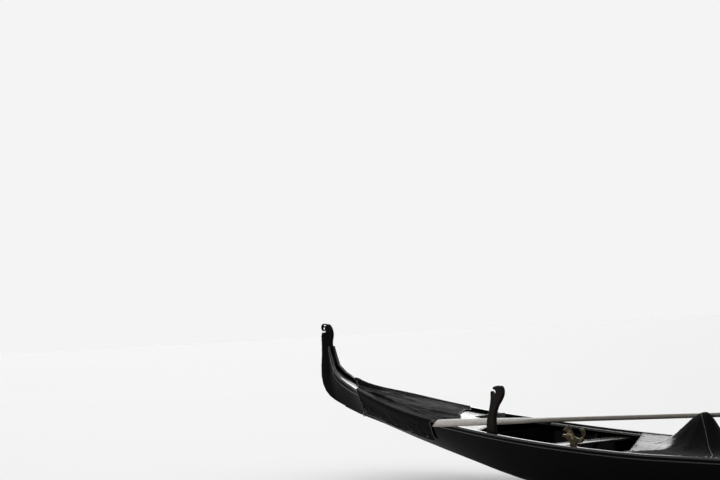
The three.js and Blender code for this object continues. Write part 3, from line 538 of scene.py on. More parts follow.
def lacquer_material():
    made, tree, shader = material("Black lacquer")
    wear = group(tree, "Edge wear", Amount=0.4, Patch=5.0)
    dust = group(tree, "Dust", Amount=0.08, Scale=4.0)
    salt = group(tree, "Waterline", Reach=0.12)
    brushed = speckle(tree, object_place(tree, (1.5, 40, 60)), 4.0, 3.0)
    fair = speckle(tree, object_place(tree, (0.7, 2, 3)), 1.2, 2.0)
    base = blend(tree, wear.outputs["Mask"], tuple(colours().lacquer), RUBBED_LACQUER)
    dusty = blend(tree, dust.outputs["Mask"], base, LACQUER_DUST)
    salted = blend(tree, maths(tree, "MULTIPLY", salt.outputs["Mask"], 0.35), dusty, SALT)
    rough = maths(tree, "MULTIPLY_ADD", wear.outputs["Patches"], 0.16, 0.05)
    rougher = maths(tree, "MULTIPLY_ADD", salt.outputs["Mask"], 0.3, rough)
    relief = bump(tree, fair, 0.02, 0.2, bump(tree, brushed, 0.0005, 0.3))
    set_up(tree, shader, {
        "Base Color": salted, "Roughness": rougher, "Normal": relief, "Specular IOR Level": 0.02})
    return made


def rail_material():
    made, tree, shader = material("Rail lacquer")
    wear = group(tree, "Edge wear", Amount=0.6, Patch=7.0)
    dust = group(tree, "Dust", Amount=0.15, Scale=6.0)
    brushed = speckle(tree, object_place(tree, (1.5, 40, 60)), 4.0, 3.0)
    base = blend(tree, wear.outputs["Mask"], tuple(colours().lacquer), RUBBED_RAIL)
    dusty = blend(tree, dust.outputs["Mask"], base, RAIL_DUST)
    set_up(tree, shader, {
        "Base Color": dusty, "Roughness": maths(tree, "MULTIPLY_ADD", wear.outputs["Patches"], 0.14, 0.08),
        "Normal": bump(tree, brushed, 0.0004, 0.3), "Specular IOR Level": 0.5})
    return made


def varnish_material(name="Dark varnish", seams=0.0, stretch=(1.0, 14.0, 14.0), specular=0.25):
    made, tree, shader = material(name)
    grain = group(tree, "Wood grain", Scale=3.0, Stretch=stretch, Twist=0.8)
    wear = group(tree, "Edge wear", Amount=0.25, Patch=9.0)
    dust = group(tree, "Dust", Amount=0.02, Scale=5.0)
    base = blend(tree, grain.outputs["Grain"], tuple(colours().varnish), shaded(colours().varnish, 2.6))
    worn = blend(tree, wear.outputs["Mask"], base, RUBBED_VARNISH)
    dusty = blend(tree, dust.outputs["Mask"], worn, VARNISH_DUST)
    height = maths(tree, "MULTIPLY_ADD", grain.outputs["Grain"], 0.3, grain.outputs["Pores"])
    relief = bump(tree, height, 0.0008, 0.25)
    if seams:
        across = put(tree, "ShaderNodeSeparateXYZ", {0: object_place(tree)}).outputs["Y"]
        share = maths(tree, "FRACT", maths(tree, "DIVIDE", across, seams))
        ridge = maths(tree, "ABSOLUTE", maths(tree, "SUBTRACT", share, 0.5))
        groove = between(tree, ridge, 0.5 - SEAM_HALF / seams, 0.5)
        relief = bump(tree, maths(tree, "SUBTRACT", 1.0, groove), 0.002, 1.0, relief)
        dusty = blend(tree, groove, dusty, SEAM)
    rough = maths(tree, "MULTIPLY_ADD", grain.outputs["Pores"], 0.08, 0.12)
    rougher = maths(tree, "MULTIPLY_ADD", dust.outputs["Mask"], 0.5, rough)
    set_up(tree, shader, {
        "Base Color": dusty, "Roughness": rougher, "Normal": relief, "Specular IOR Level": specular})
    return made


def walnut_material():
    made, tree, shader = material("Oiled walnut")
    grain = group(tree, "Wood grain", Scale=6.0, Stretch=(9.0, 9.0, 1.0), Twist=1.2)
    wear = group(tree, "Edge wear", Amount=1.0, Patch=14.0)
    base = blend(tree, grain.outputs["Grain"], tuple(colours().walnut), shaded(colours().walnut, 2.4))
    worn = blend(tree, wear.outputs["Mask"], base, RUBBED_WALNUT)
    rough = maths(tree, "MULTIPLY_ADD", grain.outputs["Pores"], 0.15, 0.3)
    relief = bump(tree, grain.outputs["Pores"], 0.0006, 0.4)
    set_up(tree, shader, {
        "Base Color": worn, "Roughness": rough, "Normal": relief, "Specular IOR Level": 0.06})
    return made


def oar_material():
    made, tree, shader = material("Worn ash")
    grain = group(tree, "Wood grain", Scale=3.0, Stretch=(0.8, 60.0, 60.0), Twist=0.2)
    wear = group(tree, "Edge wear", Amount=0.8, Patch=7.0)
    stains = speckle(tree, object_place(tree, (0.8, 10, 10)), 2.5, 6.0, 0.65)
    base = blend(tree, grain.outputs["Grain"], tuple(colours().oar), shaded(colours().oar, 0.6))
    stained = blend(tree, between(tree, stains, 0.45, 0.8, 0.0, 0.45), base, OAR_STAIN)
    worn = blend(tree, maths(tree, "MULTIPLY", wear.outputs["Mask"], 0.5), stained, RUBBED_OAR)
    rough = maths(tree, "MULTIPLY_ADD", stains, 0.2, 0.25)
    relief = bump(tree, grain.outputs["Pores"], 0.0005, 0.5)
    set_up(tree, shader, {
        "Base Color": worn, "Roughness": rough, "Normal": relief, "Specular IOR Level": 0.4})
    return made


def tarpaulin_material(name="Tarpaulin", puddle=False, specular=0.012):
    """Dark cover cloth with weave and hem stitches. A puddle of rain can lie on its aft part."""
    made, tree, shader = material(name)
    dust = group(tree, "Dust", Amount=0.05, Scale=2.5)
    weave = group(tree, "Weave")
    stitches = group(tree, "Stitches")
    creases = speckle(tree, object_place(tree, (6, 10, 10)), 1.5, 8.0, 0.62, 0.4)
    faded = speckle(tree, object_place(tree), 1.6, 5.0, 0.6)
    cloth = colours().tarpaulin
    base = blend(tree, between(tree, faded, 0.35, 0.7), tuple(cloth), shaded(cloth, 2.2))
    slubbed = blend(tree, maths(tree, "MULTIPLY", weave.outputs["Slub"], 0.3), base, SLUB)
    sewn = blend(tree, stitches.outputs["Mask"], slubbed, THREAD)
    dusty = blend(tree, dust.outputs["Mask"], sewn, CLOTH_DUST)
    relief = bump(tree, weave.outputs["Height"], 0.0002, 0.3, bump(tree, creases, 0.005, 0.3))
    rough = maths(tree, "MULTIPLY_ADD", faded, 0.25, 0.70 if puddle else 0.45)
    if puddle:
        place = put(tree, "ShaderNodeSeparateXYZ", {0: put(tree, "ShaderNodeTexCoord").outputs["UV"]})
        ragged = maths(tree, "MULTIPLY_ADD", creases, PUDDLE["ragged"], -PUDDLE["ragged"] / 2)
        ahead = maths(tree, "ADD", place.outputs["Y"], ragged)
        inboard = maths(tree, "MULTIPLY_ADD", place.outputs["Y"], -1.0, place.outputs["X"])
        wet = maths(tree, "MULTIPLY", between(tree, ahead, *PUDDLE["ahead"]),
                    between(tree, inboard, *PUDDLE["inboard"]))
        rough = maths(tree, "MULTIPLY_ADD", wet, -PUDDLE["shine"], rough)
    set_up(tree, shader, {
        "Base Color": dusty, "Roughness": rough, "Specular IOR Level": specular,
        "Normal": bump(tree, stitches.outputs["Mask"], 0.0006, 0.8, relief)})
    return made


def hem_material():
    """Grey cord sewn into the edges and seams."""
    made, tree, shader = material("Hem cord")
    fibres = speckle(tree, object_place(tree), 90.0, 4.0, 0.6)
    base = blend(tree, between(tree, fibres, 0.35, 0.65), HEM_DARK, HEM_LIGHT)
    set_up(tree, shader, {
        "Base Color": base, "Roughness": between(tree, fibres, 0.0, 1.0, 0.35, 0.6),
        "Normal": bump(tree, fibres, 0.0004, 0.4), "Specular IOR Level": 0.3})
    return made


def metal_material(name, shade, tarnish, rough_low, amount, clean=0.5):
    """Polished metal with tarnish where the spots reach over the clean level."""
    made, tree, shader = material(name)
    wear = group(tree, "Edge wear", Amount=0.7, Patch=18.0)
    spots = speckle(tree, object_place(tree), 22.0, 7.0, 0.65)
    scratches = speckle(tree, object_place(tree, (60, 60, 8)), 3.0, 3.0)
    base = blend(tree, between(tree, spots, clean, clean + 0.2, 0.0, amount), tuple(shade), tarnish)
    rubbed = blend(tree, wear.outputs["Mask"], base, shaded(shade, 1.25))
    rough = maths(tree, "MULTIPLY_ADD", spots, 0.3, rough_low)
    relief = bump(tree, scratches, 0.0002, 0.3, bump(tree, spots, 0.0006, 0.25))
    set_up(tree, shader, {
        "Base Color": rubbed, "Roughness": rough, "Normal": relief, "Metallic": 1.0})
    return made


def rope_material():
    made, tree, shader = material("Twisted rope")
    fibres = speckle(tree, object_place(tree), 180.0, 4.0, 0.6)
    rope = colours().rope
    base = blend(tree, between(tree, fibres, 0.35, 0.65), shaded(rope, 0.5), tuple(rope))
    set_up(tree, shader, {
        "Base Color": base, "Roughness": between(tree, fibres, 0.0, 1.0, 0.75, 0.95),
        "Normal": bump(tree, fibres, 0.0006, 0.5)})
    return made


def floor_material():
    made, tree, shader = material("Pale floor")
    cloud = speckle(tree, object_place(tree), 0.15, 3.0)
    pale = colours().floor
    set_up(tree, shader, {
        "Base Color": blend(tree, cloud, shaded(pale, 0.97), tuple(pale)), "Roughness": 0.75,
        "Specular IOR Level": 0.2})
    return made


MAKERS = {
    "lacquer": lacquer_material,
    "rail": rail_material,
    "varnish": varnish_material,
    "deck": lambda: varnish_material("Varnished deck", DECK_PLANK),
    "crossboard": lambda: varnish_material("Varnished thwart", 0.0, (14.0, 1.0, 14.0), 0.1),
    "walnut": walnut_material,
    "oar": oar_material,
    "tarpaulin": tarpaulin_material,
    "wet": lambda: tarpaulin_material("Wet tarpaulin", True, 0.03),
    "hem": hem_material,
    "steel": lambda: metal_material("Polished steel", colours().steel, STEEL_TARNISH, 0.12, 0.5),
    "brass": lambda: metal_material("Polished brass", colours().brass, BRASS_TARNISH, 0.10, 0.97, 0.30),
    "rope": rope_material,
    "floor": floor_material,
}


def finish(name):
    """A finish's material, made when it is first asked for."""
    if name not in MATERIALS:
        MATERIALS[name] = MAKERS[name]()
    return MATERIALS[name]


# Stage
CAMERA_AT = Vector((10.894, -13.322, 2.104))
CAMERA_TURN = 2.4357
CAMERA_PITCH = 0.0257
CAMERA_ROLL = -0.0368
PHOTO_WIDTH = 720
SENSOR = 36.0
FOCAL_PIXELS = 1908.0
VIEW_END = 400
# Where the light comes from, and over which part of the sky it comes up, as cosines
BRIGHT_WAY = (-0.50, 0.43, 0.75)
BRIGHT_EDGE = (-0.5, 0.5)
GLOW_WAY = (-0.728, 0.500, 0.469)
GLOW_EDGE = (0.90, 0.99)
# The opening in the floor: stations it is looked for at, and how far it keeps inside the planking's skin
OPENING = {"from": 3.80, "step": 0.02, "steps": 220, "deep": 0.012, "inside": 0.008}
# How the floor's outer points are spread round: how far they are drawn to the sides, and the middle they turn about
RING_SPREAD = 6
RING_MIDDLE = 0.4


class GONDOLA_OT_stage(bpy.types.Operator):
    """Makes the camera, the light and the pale floor at the waterline"""
    bl_idname = "gondola.stage"
    bl_label = "Stage"

    def execute(self, context):
        way = Vector((math.cos(CAMERA_PITCH) * math.cos(CAMERA_TURN),
                      math.cos(CAMERA_PITCH) * math.sin(CAMERA_TURN), math.sin(CAMERA_PITCH)))
        level = way.cross(Vector((0, 0, 1))).normalized()
        right = Matrix.Rotation(-CAMERA_ROLL, 3, way) @ level
        up = right.cross(way)
        turned = Matrix((right, up, -way)).transposed().to_4x4()
        bpy.ops.object.camera_add()
        camera = context.object
        camera.matrix_world = Matrix.Translation(CAMERA_AT) @ turned
        camera.data.sensor_width = SENSOR
        camera.data.lens = FOCAL_PIXELS * SENSOR / PHOTO_WIDTH
        camera.data.clip_end = VIEW_END
        context.scene.camera = camera
        self.floor()
        self.light(context)
        return {"FINISHED"}

    def floor(self):
        """A flat ring: its inner edge follows the hull at the waterline, inside the planking."""
        stations = [OPENING["from"] + OPENING["step"] * k for k in range(OPENING["steps"])]
        afloat = [s for s in stations if Lines(s).bottom < WATERLINE - OPENING["deep"]]
        half = [[(s - MIDDLE, side * (Lines(s).skin(side, WATERLINE) - OPENING["inside"])) for s in afloat]
                for side in (PORT, STARBOARD)]
        outline = half[0] + half[1][::-1]
        count = len(outline)
        bpy.ops.mesh.primitive_circle_add(vertices=count, radius=1, fill_type="NOTHING")
        floor = bpy.context.object
        edit(floor, bpy.ops.mesh.extrude_edges_move)
        turn = [math.atan2(y * RING_SPREAD, x - RING_MIDDLE) for x, y in outline]
        reach = sizes().stage_reach
        for k, vertex in enumerate(floor.data.vertices):
            x, y = outline[k % count]
            if k >= count:
                x, y = reach * math.cos(turn[k - count]), reach * math.sin(turn[k - count])
            vertex.co = (x, y, WATERLINE)
        face_outwards(floor)
        floor.name = "floor"
        floor.data.materials.append(finish("floor"))

    def light(self, context):
        """Soft light all round, strongest from beyond the boat, and a plain pale backdrop."""
        world = bpy.data.worlds.new("Pale sky")
        world.use_nodes = True
        tree = world.node_tree
        way = put(tree, "ShaderNodeTexCoord").outputs["Generated"]
        toward = put(tree, "ShaderNodeVectorMath", {0: way, 1: BRIGHT_WAY}, operation="DOT_PRODUCT")
        all_round = between(tree, toward.outputs["Value"], *BRIGHT_EDGE, sizes().sky_dark, sizes().sky_bright)
        near = put(tree, "ShaderNodeVectorMath", {0: way, 1: GLOW_WAY}, operation="DOT_PRODUCT")
        glow = between(tree, near.outputs["Value"], *GLOW_EDGE, 0.0, sizes().glow)
        lit = maths(tree, "ADD", all_round, glow)
        seen = put(tree, "ShaderNodeLightPath").outputs["Is Camera Ray"]
        strength = put(tree, "ShaderNodeMix", {0: seen, 2: lit, 3: sizes().backdrop}, data_type="FLOAT")
        link(tree, strength.outputs[0], tree.nodes["Background"].inputs["Strength"])
        tree.nodes["Background"].inputs["Color"].default_value = (1, 1, 1, 1)
        context.scene.world = world
        context.scene.view_settings.view_transform = "Standard"


# Hull
PLANKING = [
    "bottom_planking", "side_planking_port", "side_planking_starboard", "top_strake_port", "top_strake_starboard",
]
RAILS = ["sheer_rail_port", "sheer_rail_starboard", "lower_moulding_port", "lower_moulding_starboard"]
POSTS = ["stern_post", "bow_post"]
THWARTS = ["aft_thwart", "middle_thwart", "fore_thwart"]
# How far inside the chine's line a corner still counts as the bottom's edge
EDGE_NEAR = 0.004


def spread_edges(bottom):
    """Carries the bottom's edges out to the sides' outer face, so the sides stand on them."""
    for vertex in bottom.data.vertices:
        lines = Lines(vertex.co.x + MIDDLE)
        side = PORT if vertex.co.y > 0 else STARBOARD
        if abs(vertex.co.y) > lines.chine[side] - EDGE_NEAR:
            vertex.co.y = side * lines.skin(side, vertex.co.z)


class GONDOLA_OT_hull(bpy.types.Operator):
    """Fairs the planking, rails, mouldings and posts and lacquers them black"""
    bl_idname = "gondola.hull"
    bl_label = "Hull"

    def execute(self, context):
        dress(PLANKING, "faired_", "lacquer", levels=2, shapes={"bottom_planking": spread_edges})
        dress(RAILS, "faired_", "rail", levels=2, ease=0.003)
        dress(POSTS, "faired_", "lacquer", ease=0.004, sharp=40)
        return {"FINISHED"}


BOARD_WIDTH = 0.105
BOARD_GAP = 0.004


class GONDOLA_OT_inside(bpy.types.Operator):
    """Eases and finishes the ribs, bulkheads, floorboards, thwarts and inner gunwales"""
    bl_idname = "gondola.inside"
    bl_label = "Inside"

    def execute(self, context):
        dress(["aft_bulkhead", "fore_bulkhead"] + [f"rib_{k}" for k in range(1, 7)], "eased_", "lacquer")
        dress(["inner_gunwale_port", "inner_gunwale_starboard"], "eased_", "varnish", levels=2, ease=0.003)
        dress(THWARTS, "eased_", "crossboard", ease=0.005)
        for node in ("floorboards_aft", "floorboards_middle", "floorboards_fore"):
            finish_piece(self.boards(node), "boards_" + node, "varnish", "hull", node)
        return {"FINISHED"}

    def boards(self, node):
        """The floor as separate boards, sawn from the node's shape."""
        low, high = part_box(node)
        cuts = [low.y + BOARD_WIDTH * k for k in range(1, int((high.y - low.y) / BOARD_WIDTH) + 1)]
        edges = [low.y - 1] + cuts + [high.y + 1]
        boards = []
        for start, end in zip(edges, edges[1:]):
            board = merged_copy(node)
            for y, keep in ((start + BOARD_GAP / 2, 1), (end - BOARD_GAP / 2, -1)):
                edit(board, lambda: bpy.ops.mesh.bisect(
                    plane_co=(0, y, 0), plane_no=(0, keep, 0), use_fill=True, clear_inner=True))
            modify(board, "BEVEL", width=sizes().ease, segments=2, limit_method="ANGLE", angle_limit=math.radians(40))
            boards.append(board)
        activate(boards[0])
        for board in boards:
            board.select_set(True)
        bpy.ops.object.join()
        smooth_shade(boards[0])
        return boards[0]


class GONDOLA_OT_decks(bpy.types.Operator):
    """Finishes the two decks, the crest and the foot rest"""
    bl_idname = "gondola.decks"
    bl_label = "Decks"

    def execute(self, context):
        dress(["stern_deck", "bow_deck"], "faired_", "deck", levels=2)
        dress(["bow_deck_crest", "foot_rest"], "eased_", "varnish", ease=0.004)
        return {"FINISHED"}


class GONDOLA_OT_seat(bpy.types.Operator):
    """Finishes the seat under its cover"""
    bl_idname = "gondola.seat"
    bl_label = "Seat"

    def execute(self, context):
        dress(["seat_box", "seat_back"], "eased_", "varnish", ease=0.004)
        return {"FINISHED"}


# The sea-horse's chased work, from its middle: scales, depth, place and radius of the eye, pitch of the mane
SCALE = 0.013
CHASED = 0.0011
EYE = (-0.086, 0.060)
EYE_RADIUS = 0.007
MANE_PITCH = 0.009


class GONDOLA_OT_metalwork(bpy.types.Operator):
    """Makes the bow iron and the sea-horse, and the rolled head of the stern"""
    bl_idname = "gondola.metalwork"
    bl_label = "Metalwork"

    def execute(self, context):
        dress(["bow_iron"], "polished_", "steel", ease=0.0015, sharp=30)
        horse = carved("sea_horse", voxel=0.0012, rounds=6, rounded=0.006)
        self.chase(horse)
        finish_piece(horse, "cast_sea_horse", "brass", "hull", "sea_horse")
        head = carved("stern_scroll", voxel=0.0015, rounds=8)
        finish_piece(head, "carved_stern_scroll", "lacquer", "hull", "stern_scroll")
        return {"FINISHED"}

    def chase(self, horse):
        """Works scales into the body, a ringed eye and a grooved mane."""
        middle = (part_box("sea_horse")[0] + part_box("sea_horse")[1]) / 2
        moved = []
        for vertex in horse.data.vertices:
            along, up = vertex.co.x - middle.x, vertex.co.z - middle.z
            body = smooth(-0.075, -0.045, along - 0.3 * up)
            a, b = (0.8 * along + 0.6 * up) / SCALE, (0.6 * along - 0.8 * up) / SCALE
            scales = abs(math.sin(math.pi * a)) * abs(math.sin(math.pi * b))
            eye = math.hypot(along - EYE[0], up - EYE[1]) / EYE_RADIUS
            ring = math.exp(-((eye - 1) / 0.3) ** 2) + math.exp(-((eye / 0.5) ** 2))
            behind = abs(along + 0.048 + 0.45 * (up - 0.05))
            mane = math.sin(math.tau * up / MANE_PITCH) * smooth(0.006, 0.0, behind)
            relief = body * scales + (1 - body) * (1.6 * ring + 0.7 * mane)
            moved.append(vertex.co + vertex.normal * relief * CHASED)
        for vertex, place in zip(horse.data.vertices, moved):
            vertex.co = place


class GONDOLA_OT_rowing_gear(bpy.types.Operator):
    """Makes the crutch, its block and the oar"""
    bl_idname = "gondola.rowing_gear"
    bl_label = "Rowing gear"

    def execute(self, context):
        dress(["crutch_block"], "eased_", "varnish", ease=0.003)
        crutch = carved("crutch", voxel=0.003, rounds=14)
        finish_piece(crutch, "carved_crutch", "walnut", "crutch", "crutch")
        oar = merged_copy("oar")
        edit(oar, lambda: crease_sharp(50))
        modify(oar, "SUBSURF", levels=2, render_levels=2)
        smooth_shade(oar, 40)
        finish_piece(oar, "worn_oar", "oar", "oar", "oar")
        return {"FINISHED"}


# Covers
# The stern cover's aft and fore edges: stations at even steps from starboard hem to port hem
STERN_COVER = {"aft": (0.75, 0.74, 0.68, 0.64, 0.56, 0.47, 0.39, 0.34, 0.40, 0.58, 0.74),
               "fore": (2.02, 2.08, 2.14, 2.20, 2.30, 2.06, 1.86, 1.72, 1.66, 1.62, 1.57),
               "skirt": 0.215, "rows": 160, "columns": 150}
# The lines that its cloth follows. Skirt: depth under the sheer, and room to the planking
SKIRT_LINES = ((STERN_COVER["skirt"], 0.018), (0.14, 0.017), (0.07, 0.016))
# Deck: share of the half-breadth, and share of the crown
DECK_LINES = ((0.55, 0.78), (0.28, 0.95))
# Rail: room beside it and over it
BESIDE_RAIL = 0.003
OVER_RAIL = 0.005
# How much each kind of fold lifts the cloth, as shares of the folds' height: deck and skirts of the stern cover,
# foot of the peak and flat part of the seat cover
ON_DECK = {"all": 0.15, "long": 0.5}
ON_SKIRT = {"all": 0.1, "long": 0.9, "cross": 0.55, "gather": 0.7}
ON_FOOT = {"pleats": 0.55, "fine": 0.2, "tight": 0.5}
ON_FLAT = {"ripples": 0.35, "sag": 0.45}
PLEATS_ROUND = 7
FINE_PLEATS_ROUND = 15
# The seat cover: the stations where it starts and ends, its height over the sheer and its room to the rail
SEAT_COVER = {"from": 4.306, "to": 5.85, "over": 0.0135, "in": 0.006, "rows": 150, "columns": 170}
# Its peak: place, rise, reach each way, how it falls off, and how far the cover's rows run askew
PEAK = {"station": 5.15, "port": 0.12, "rise": 0.328, "aft": 0.372, "fore": 0.202, "side": 0.158,
        "fall": 1.15, "power": 2, "skew": 0.74}
# Lengthwise folds of the stern cover: share of the way across, height, width, and how they wander
COVER_FOLDS = [
    (-0.36, 1.0, 0.020, 1.0), (-0.27, 0.7, 0.016, 5.1), (-0.17, 1.2, 0.022, 2.3), (-0.05, 0.9, 0.026, 4.1),
    (0.07, 0.8, 0.018, 0.4), (0.17, 1.2, 0.022, 3.2), (0.28, 0.9, 0.018, 1.7), (0.37, 1.0, 0.020, 2.9),
]
# The oar's middle line, over the rail and on the seat cover
OAR_ON_RAIL = Vector((-2.930, -0.478, 0.7543))
OAR_ON_PEAK = Vector((-0.180, 0.2172, 0.855))
OAR_ROOM = 0.0245
HEM_THICK = 0.0035
SEAM_THICK = 0.003
# Where the seams start on the middle line and end at the sides, as shares of the way from aft to fore
SEAM_RUN = (0.50, 0.735)
# Eyelets: the first station, the steps between them to port and starboard, and how far they are over the hem
STERN_RINGS = {"from": 0.80, "count": 5, "steps": ((PORT, 0.175), (STARBOARD, 0.28)), "over": 0.028}
# How far in from the seat cover's edges its eyelets are, as shares of its width and length, and how many gaps
SEAT_RINGS = {"in_side": 0.02, "in_end": 0.018, "gaps": 8}
EYELET = {"major_radius": 0.009, "minor_radius": 0.0026, "major_segments": 20, "minor_segments": 8}


def creased(x, y, seed):
    """Sharp ridges as in stiff cloth, from 0 to 1."""
    return max(1 - 1.7 * abs(noise.fractal((x, y, seed), 0.9, 2.0, 3)), 0) ** 3


def cover_section(station, loose):
    """The stern cover's line from starboard hem over the deck to port hem, lying on what is under it."""
    lines = Lines(station)
    steep = math.hypot(1, (Lines(station + 0.02).sheer - Lines(station - 0.02).sheer) / 0.04)
    high = lines.sheer + RAIL_HIGH * steep
    crown = CROWN * (lines.breadth[PORT] + lines.breadth[STARBOARD])
    deck = lines.sheer - DECK_DROP
    lift = mix(0.003, 0.010, loose)

    def half(side):
        outer = lines.breadth[side] + RAIL_OUTBOARD + BESIDE_RAIL
        inner = lines.breadth[side] - RAIL_INBOARD
        points = [(lines.skin(side, lines.sheer - deep) + room, lines.sheer - deep) for deep, room in SKIRT_LINES]
        points += [
            (outer + BESIDE_RAIL, lines.sheer - 0.012),
            (outer, high - 0.003),
            (outer - 0.008, high + OVER_RAIL),
            (inner, high + OVER_RAIL),
            (inner * mix(0.86, 0.78, loose), mix(high, deck + crown * 0.4, 0.85) + lift),
        ]
        points += [(inner * share, deck + crown * risen + lift) for share, risen in DECK_LINES]
        return [Vector((side * y, z)) for y, z in points]

    return half(STARBOARD) + [Vector((0, deck + crown + lift))] + half(PORT)[::-1]


def stern_cover_point(u, v):
    """A point of the folded stern cover: u from starboard hem to port hem, v from aft to fore."""
    across = 2 * u - 1
    aft, fore = spline(STERN_COVER["aft"], u), spline(STERN_COVER["fore"], u)
    station = mix(aft, fore, v)
    loose = smooth(0, 0.09, fore - station)
    section = cover_section(station, loose)
    here, ahead, back = spline(section, u), spline(section, min(u + 0.01, 1)), spline(section, max(u - 0.01, 0))
    way = ahead - back
    out = Vector((-way.y, way.x)).normalized()
    if (out.y if 0.2 < u < 0.8 else out.x * (u - 0.5)) < 0:
        out = -out
    seed = math.copysign(9, across)
    on_deck = 1 - smooth(0.34, 0.46, abs(across))
    on_skirt = smooth(0.62, 0.95, abs(across))
    ridge = 0
    for place, high, wide, turn in COVER_FOLDS:
        middle = place + 0.05 * math.sin(2.4 * station + turn) + 0.03 * noise.noise((station * 3, turn, 0))
        high *= 0.75 + 0.7 * noise.noise((station * 2.5, turn * 7, 3))
        ridge += high * math.exp(-(((across - middle) / wide) ** 2))
    long_folds = creased(station * 1.5, across * 7, 5)
    cross_folds = creased(station * 4, across * 3 + seed, 11)
    gather = smooth(0.25, 0.0, station - aft) * (0.5 + 0.5 * math.sin(across * 46))
    wander = 0.25 * noise.fractal((station * 5, across * 3, 5), 0.9, 2.0, 4)
    deck_lift = ridge + ON_DECK["all"] + ON_DECK["long"] * long_folds + wander
    skirt_lift = (ON_SKIRT["long"] * long_folds + ON_SKIRT["cross"] * cross_folds + ON_SKIRT["gather"] * gather
                  + ON_SKIRT["all"] + wander)
    lift = mix(0.12, 1, loose) * (on_deck * deck_lift + on_skirt * skirt_lift)
    place = here + out * max(lift, 0) * sizes().fold
    return Vector((station - MIDDLE, place.x, place.y))


def under_oar(place):
    """The place, pressed aside where the oar lies on it."""
    way = (OAR_ON_PEAK - OAR_ON_RAIL).normalized()
    off = place - OAR_ON_RAIL
    off = off - way * off.dot(way)
    if off.length >= OAR_ROOM:
        return place
    return place + off.normalized() * (OAR_ROOM - off.length)


def seat_cover_point(u, v):
    """A point of the seat cover: u from starboard edge to port edge, v from aft to fore.
    The cover lies askew, so its rows slope aft to port."""
    row = mix(SEAT_COVER["from"], SEAT_COVER["to"], v)
    fade = min(max((SEAT_COVER["to"] - row) / (SEAT_COVER["to"] - PEAK["station"]), 0), 1)
    across = 2 * u - 1
    side = PORT if across > 0 else STARBOARD
    station = row
    for _ in range(3):
        lines = Lines(station)
        edge = side * (lines.breadth[side] - RAIL_INBOARD - SEAT_COVER["in"])
        y = mix(PEAK["port"], edge, abs(across))
        station = row - fade * PEAK["skew"] * (y - PEAK["port"])
    ahead = station - PEAK["station"] + PEAK["skew"] * (y - PEAK["port"])
    reach = PEAK["aft"] if ahead < 0 else PEAK["fore"]
    aside = y - PEAK["port"]
    r = math.hypot(ahead / reach, aside / PEAK["side"])
    inboard = 1 - smooth(0.93, 1.0, abs(across))
    rise = PEAK["rise"] * math.exp(-PEAK["fall"] * r ** PEAK["power"]) * inboard
    turn = math.atan2(aside, ahead)
    pleats = math.sin(PLEATS_ROUND * turn + 1.6 * noise.noise((r * 1.5, turn, 2)))
    fine = math.sin(FINE_PLEATS_ROUND * turn + 3.0 * noise.noise((r * 2.5, turn * 2, 7)))
    foot = smooth(0.25, 0.8, r) * (1 - smooth(1.2, 2.6, r))
    tight = creased(ahead * 4 + aside, aside * 5, 1)
    flat = smooth(1.4, 2.4, r)
    ripples = creased(station * 3 + 2 * y, y * 6 - station, 17)
    round_foot = ON_FOOT["pleats"] * pleats + ON_FOOT["fine"] * fine + ON_FOOT["tight"] * tight
    sagging = ON_FLAT["ripples"] * ripples - ON_FLAT["sag"] * (1 - across * across)
    folds = foot * round_foot + flat * sagging
    z = lines.sheer + SEAT_COVER["over"] + rise + inboard * folds * sizes().fold
    return under_oar(Vector((station - MIDDLE, y, z)))


def cloth_grid(name, columns, rows, point):
    bpy.ops.mesh.primitive_grid_add(x_subdivisions=columns, y_subdivisions=rows, size=2)
    cloth = bpy.context.object
    for vertex in cloth.data.vertices:
        vertex.co = point((vertex.co.x + 1) / 2, (vertex.co.y + 1) / 2)
    cloth.name = name
    return cloth


def flat_size(point):
    """Width and length of the cloth laid flat, measured along its own lines."""
    steps = 200

    def run(path):
        places = [path(k / steps) for k in range(steps + 1)]
        return sum((b - a).length for a, b in zip(places, places[1:]))

    return max(run(lambda t: point(t, v)) for v in (0.02, 0.5, 0.98)), run(lambda t: point(0.5, t))


def tube(name, paths, radius, cyclic=False):
    """Round cords along lists of points, as one mesh."""
    bpy.ops.curve.primitive_bezier_curve_add()
    cord = bpy.context.object
    curve = cord.data
    curve.splines.clear()
    for path in paths:
        spline_made = curve.splines.new("POLY")
        spline_made.points.add(len(path) - 1)
        for point, place in zip(spline_made.points, path):
            point.co = (*place, 1)
        spline_made.use_cyclic_u = cyclic
    curve.dimensions = "3D"
    curve.bevel_depth = radius
    curve.bevel_resolution = 1
    curve.use_fill_caps = True
    activate(cord)
    bpy.ops.object.convert(target="MESH")
    cord = bpy.context.object
    cord.name = name
    bpy.ops.object.shade_smooth()
    return cord


def on(piece, origin, way):
    """Where a straight line from origin first meets a piece, and the way its face looks there."""
    met, place, normal, _ = piece.ray_cast(Vector(origin), Vector(way).normalized())
    if not met:
        raise RuntimeError(f"nothing of {piece.name} lies that way from {tuple(origin)}")
    return place, normal


def from_above(piece, x, y, height=1.5):
    return on(piece, (x, y, height), (0, 0, -1))


def copies(pattern, name, places):
    """A small fitting repeated at places, each with its own mesh, as one piece. The pattern looks up."""
    made = []
    for place, normal in places:
        one = bpy.data.objects.new(name, pattern.data.copy())
        bpy.context.scene.collection.objects.link(one)
        one.matrix_world = Matrix.Translation(place) @ normal.to_track_quat("Z", "Y").to_matrix().to_4x4()
        made.append(one)
    bpy.data.objects.remove(pattern)
    activate(made[0])
    for one in made:
        one.select_set(True)
    bpy.ops.object.join()
    bpy.ops.object.shade_smooth()
    return made[0]


def eyelet():
    bpy.ops.mesh.primitive_torus_add(**EYELET)
    return bpy.context.object


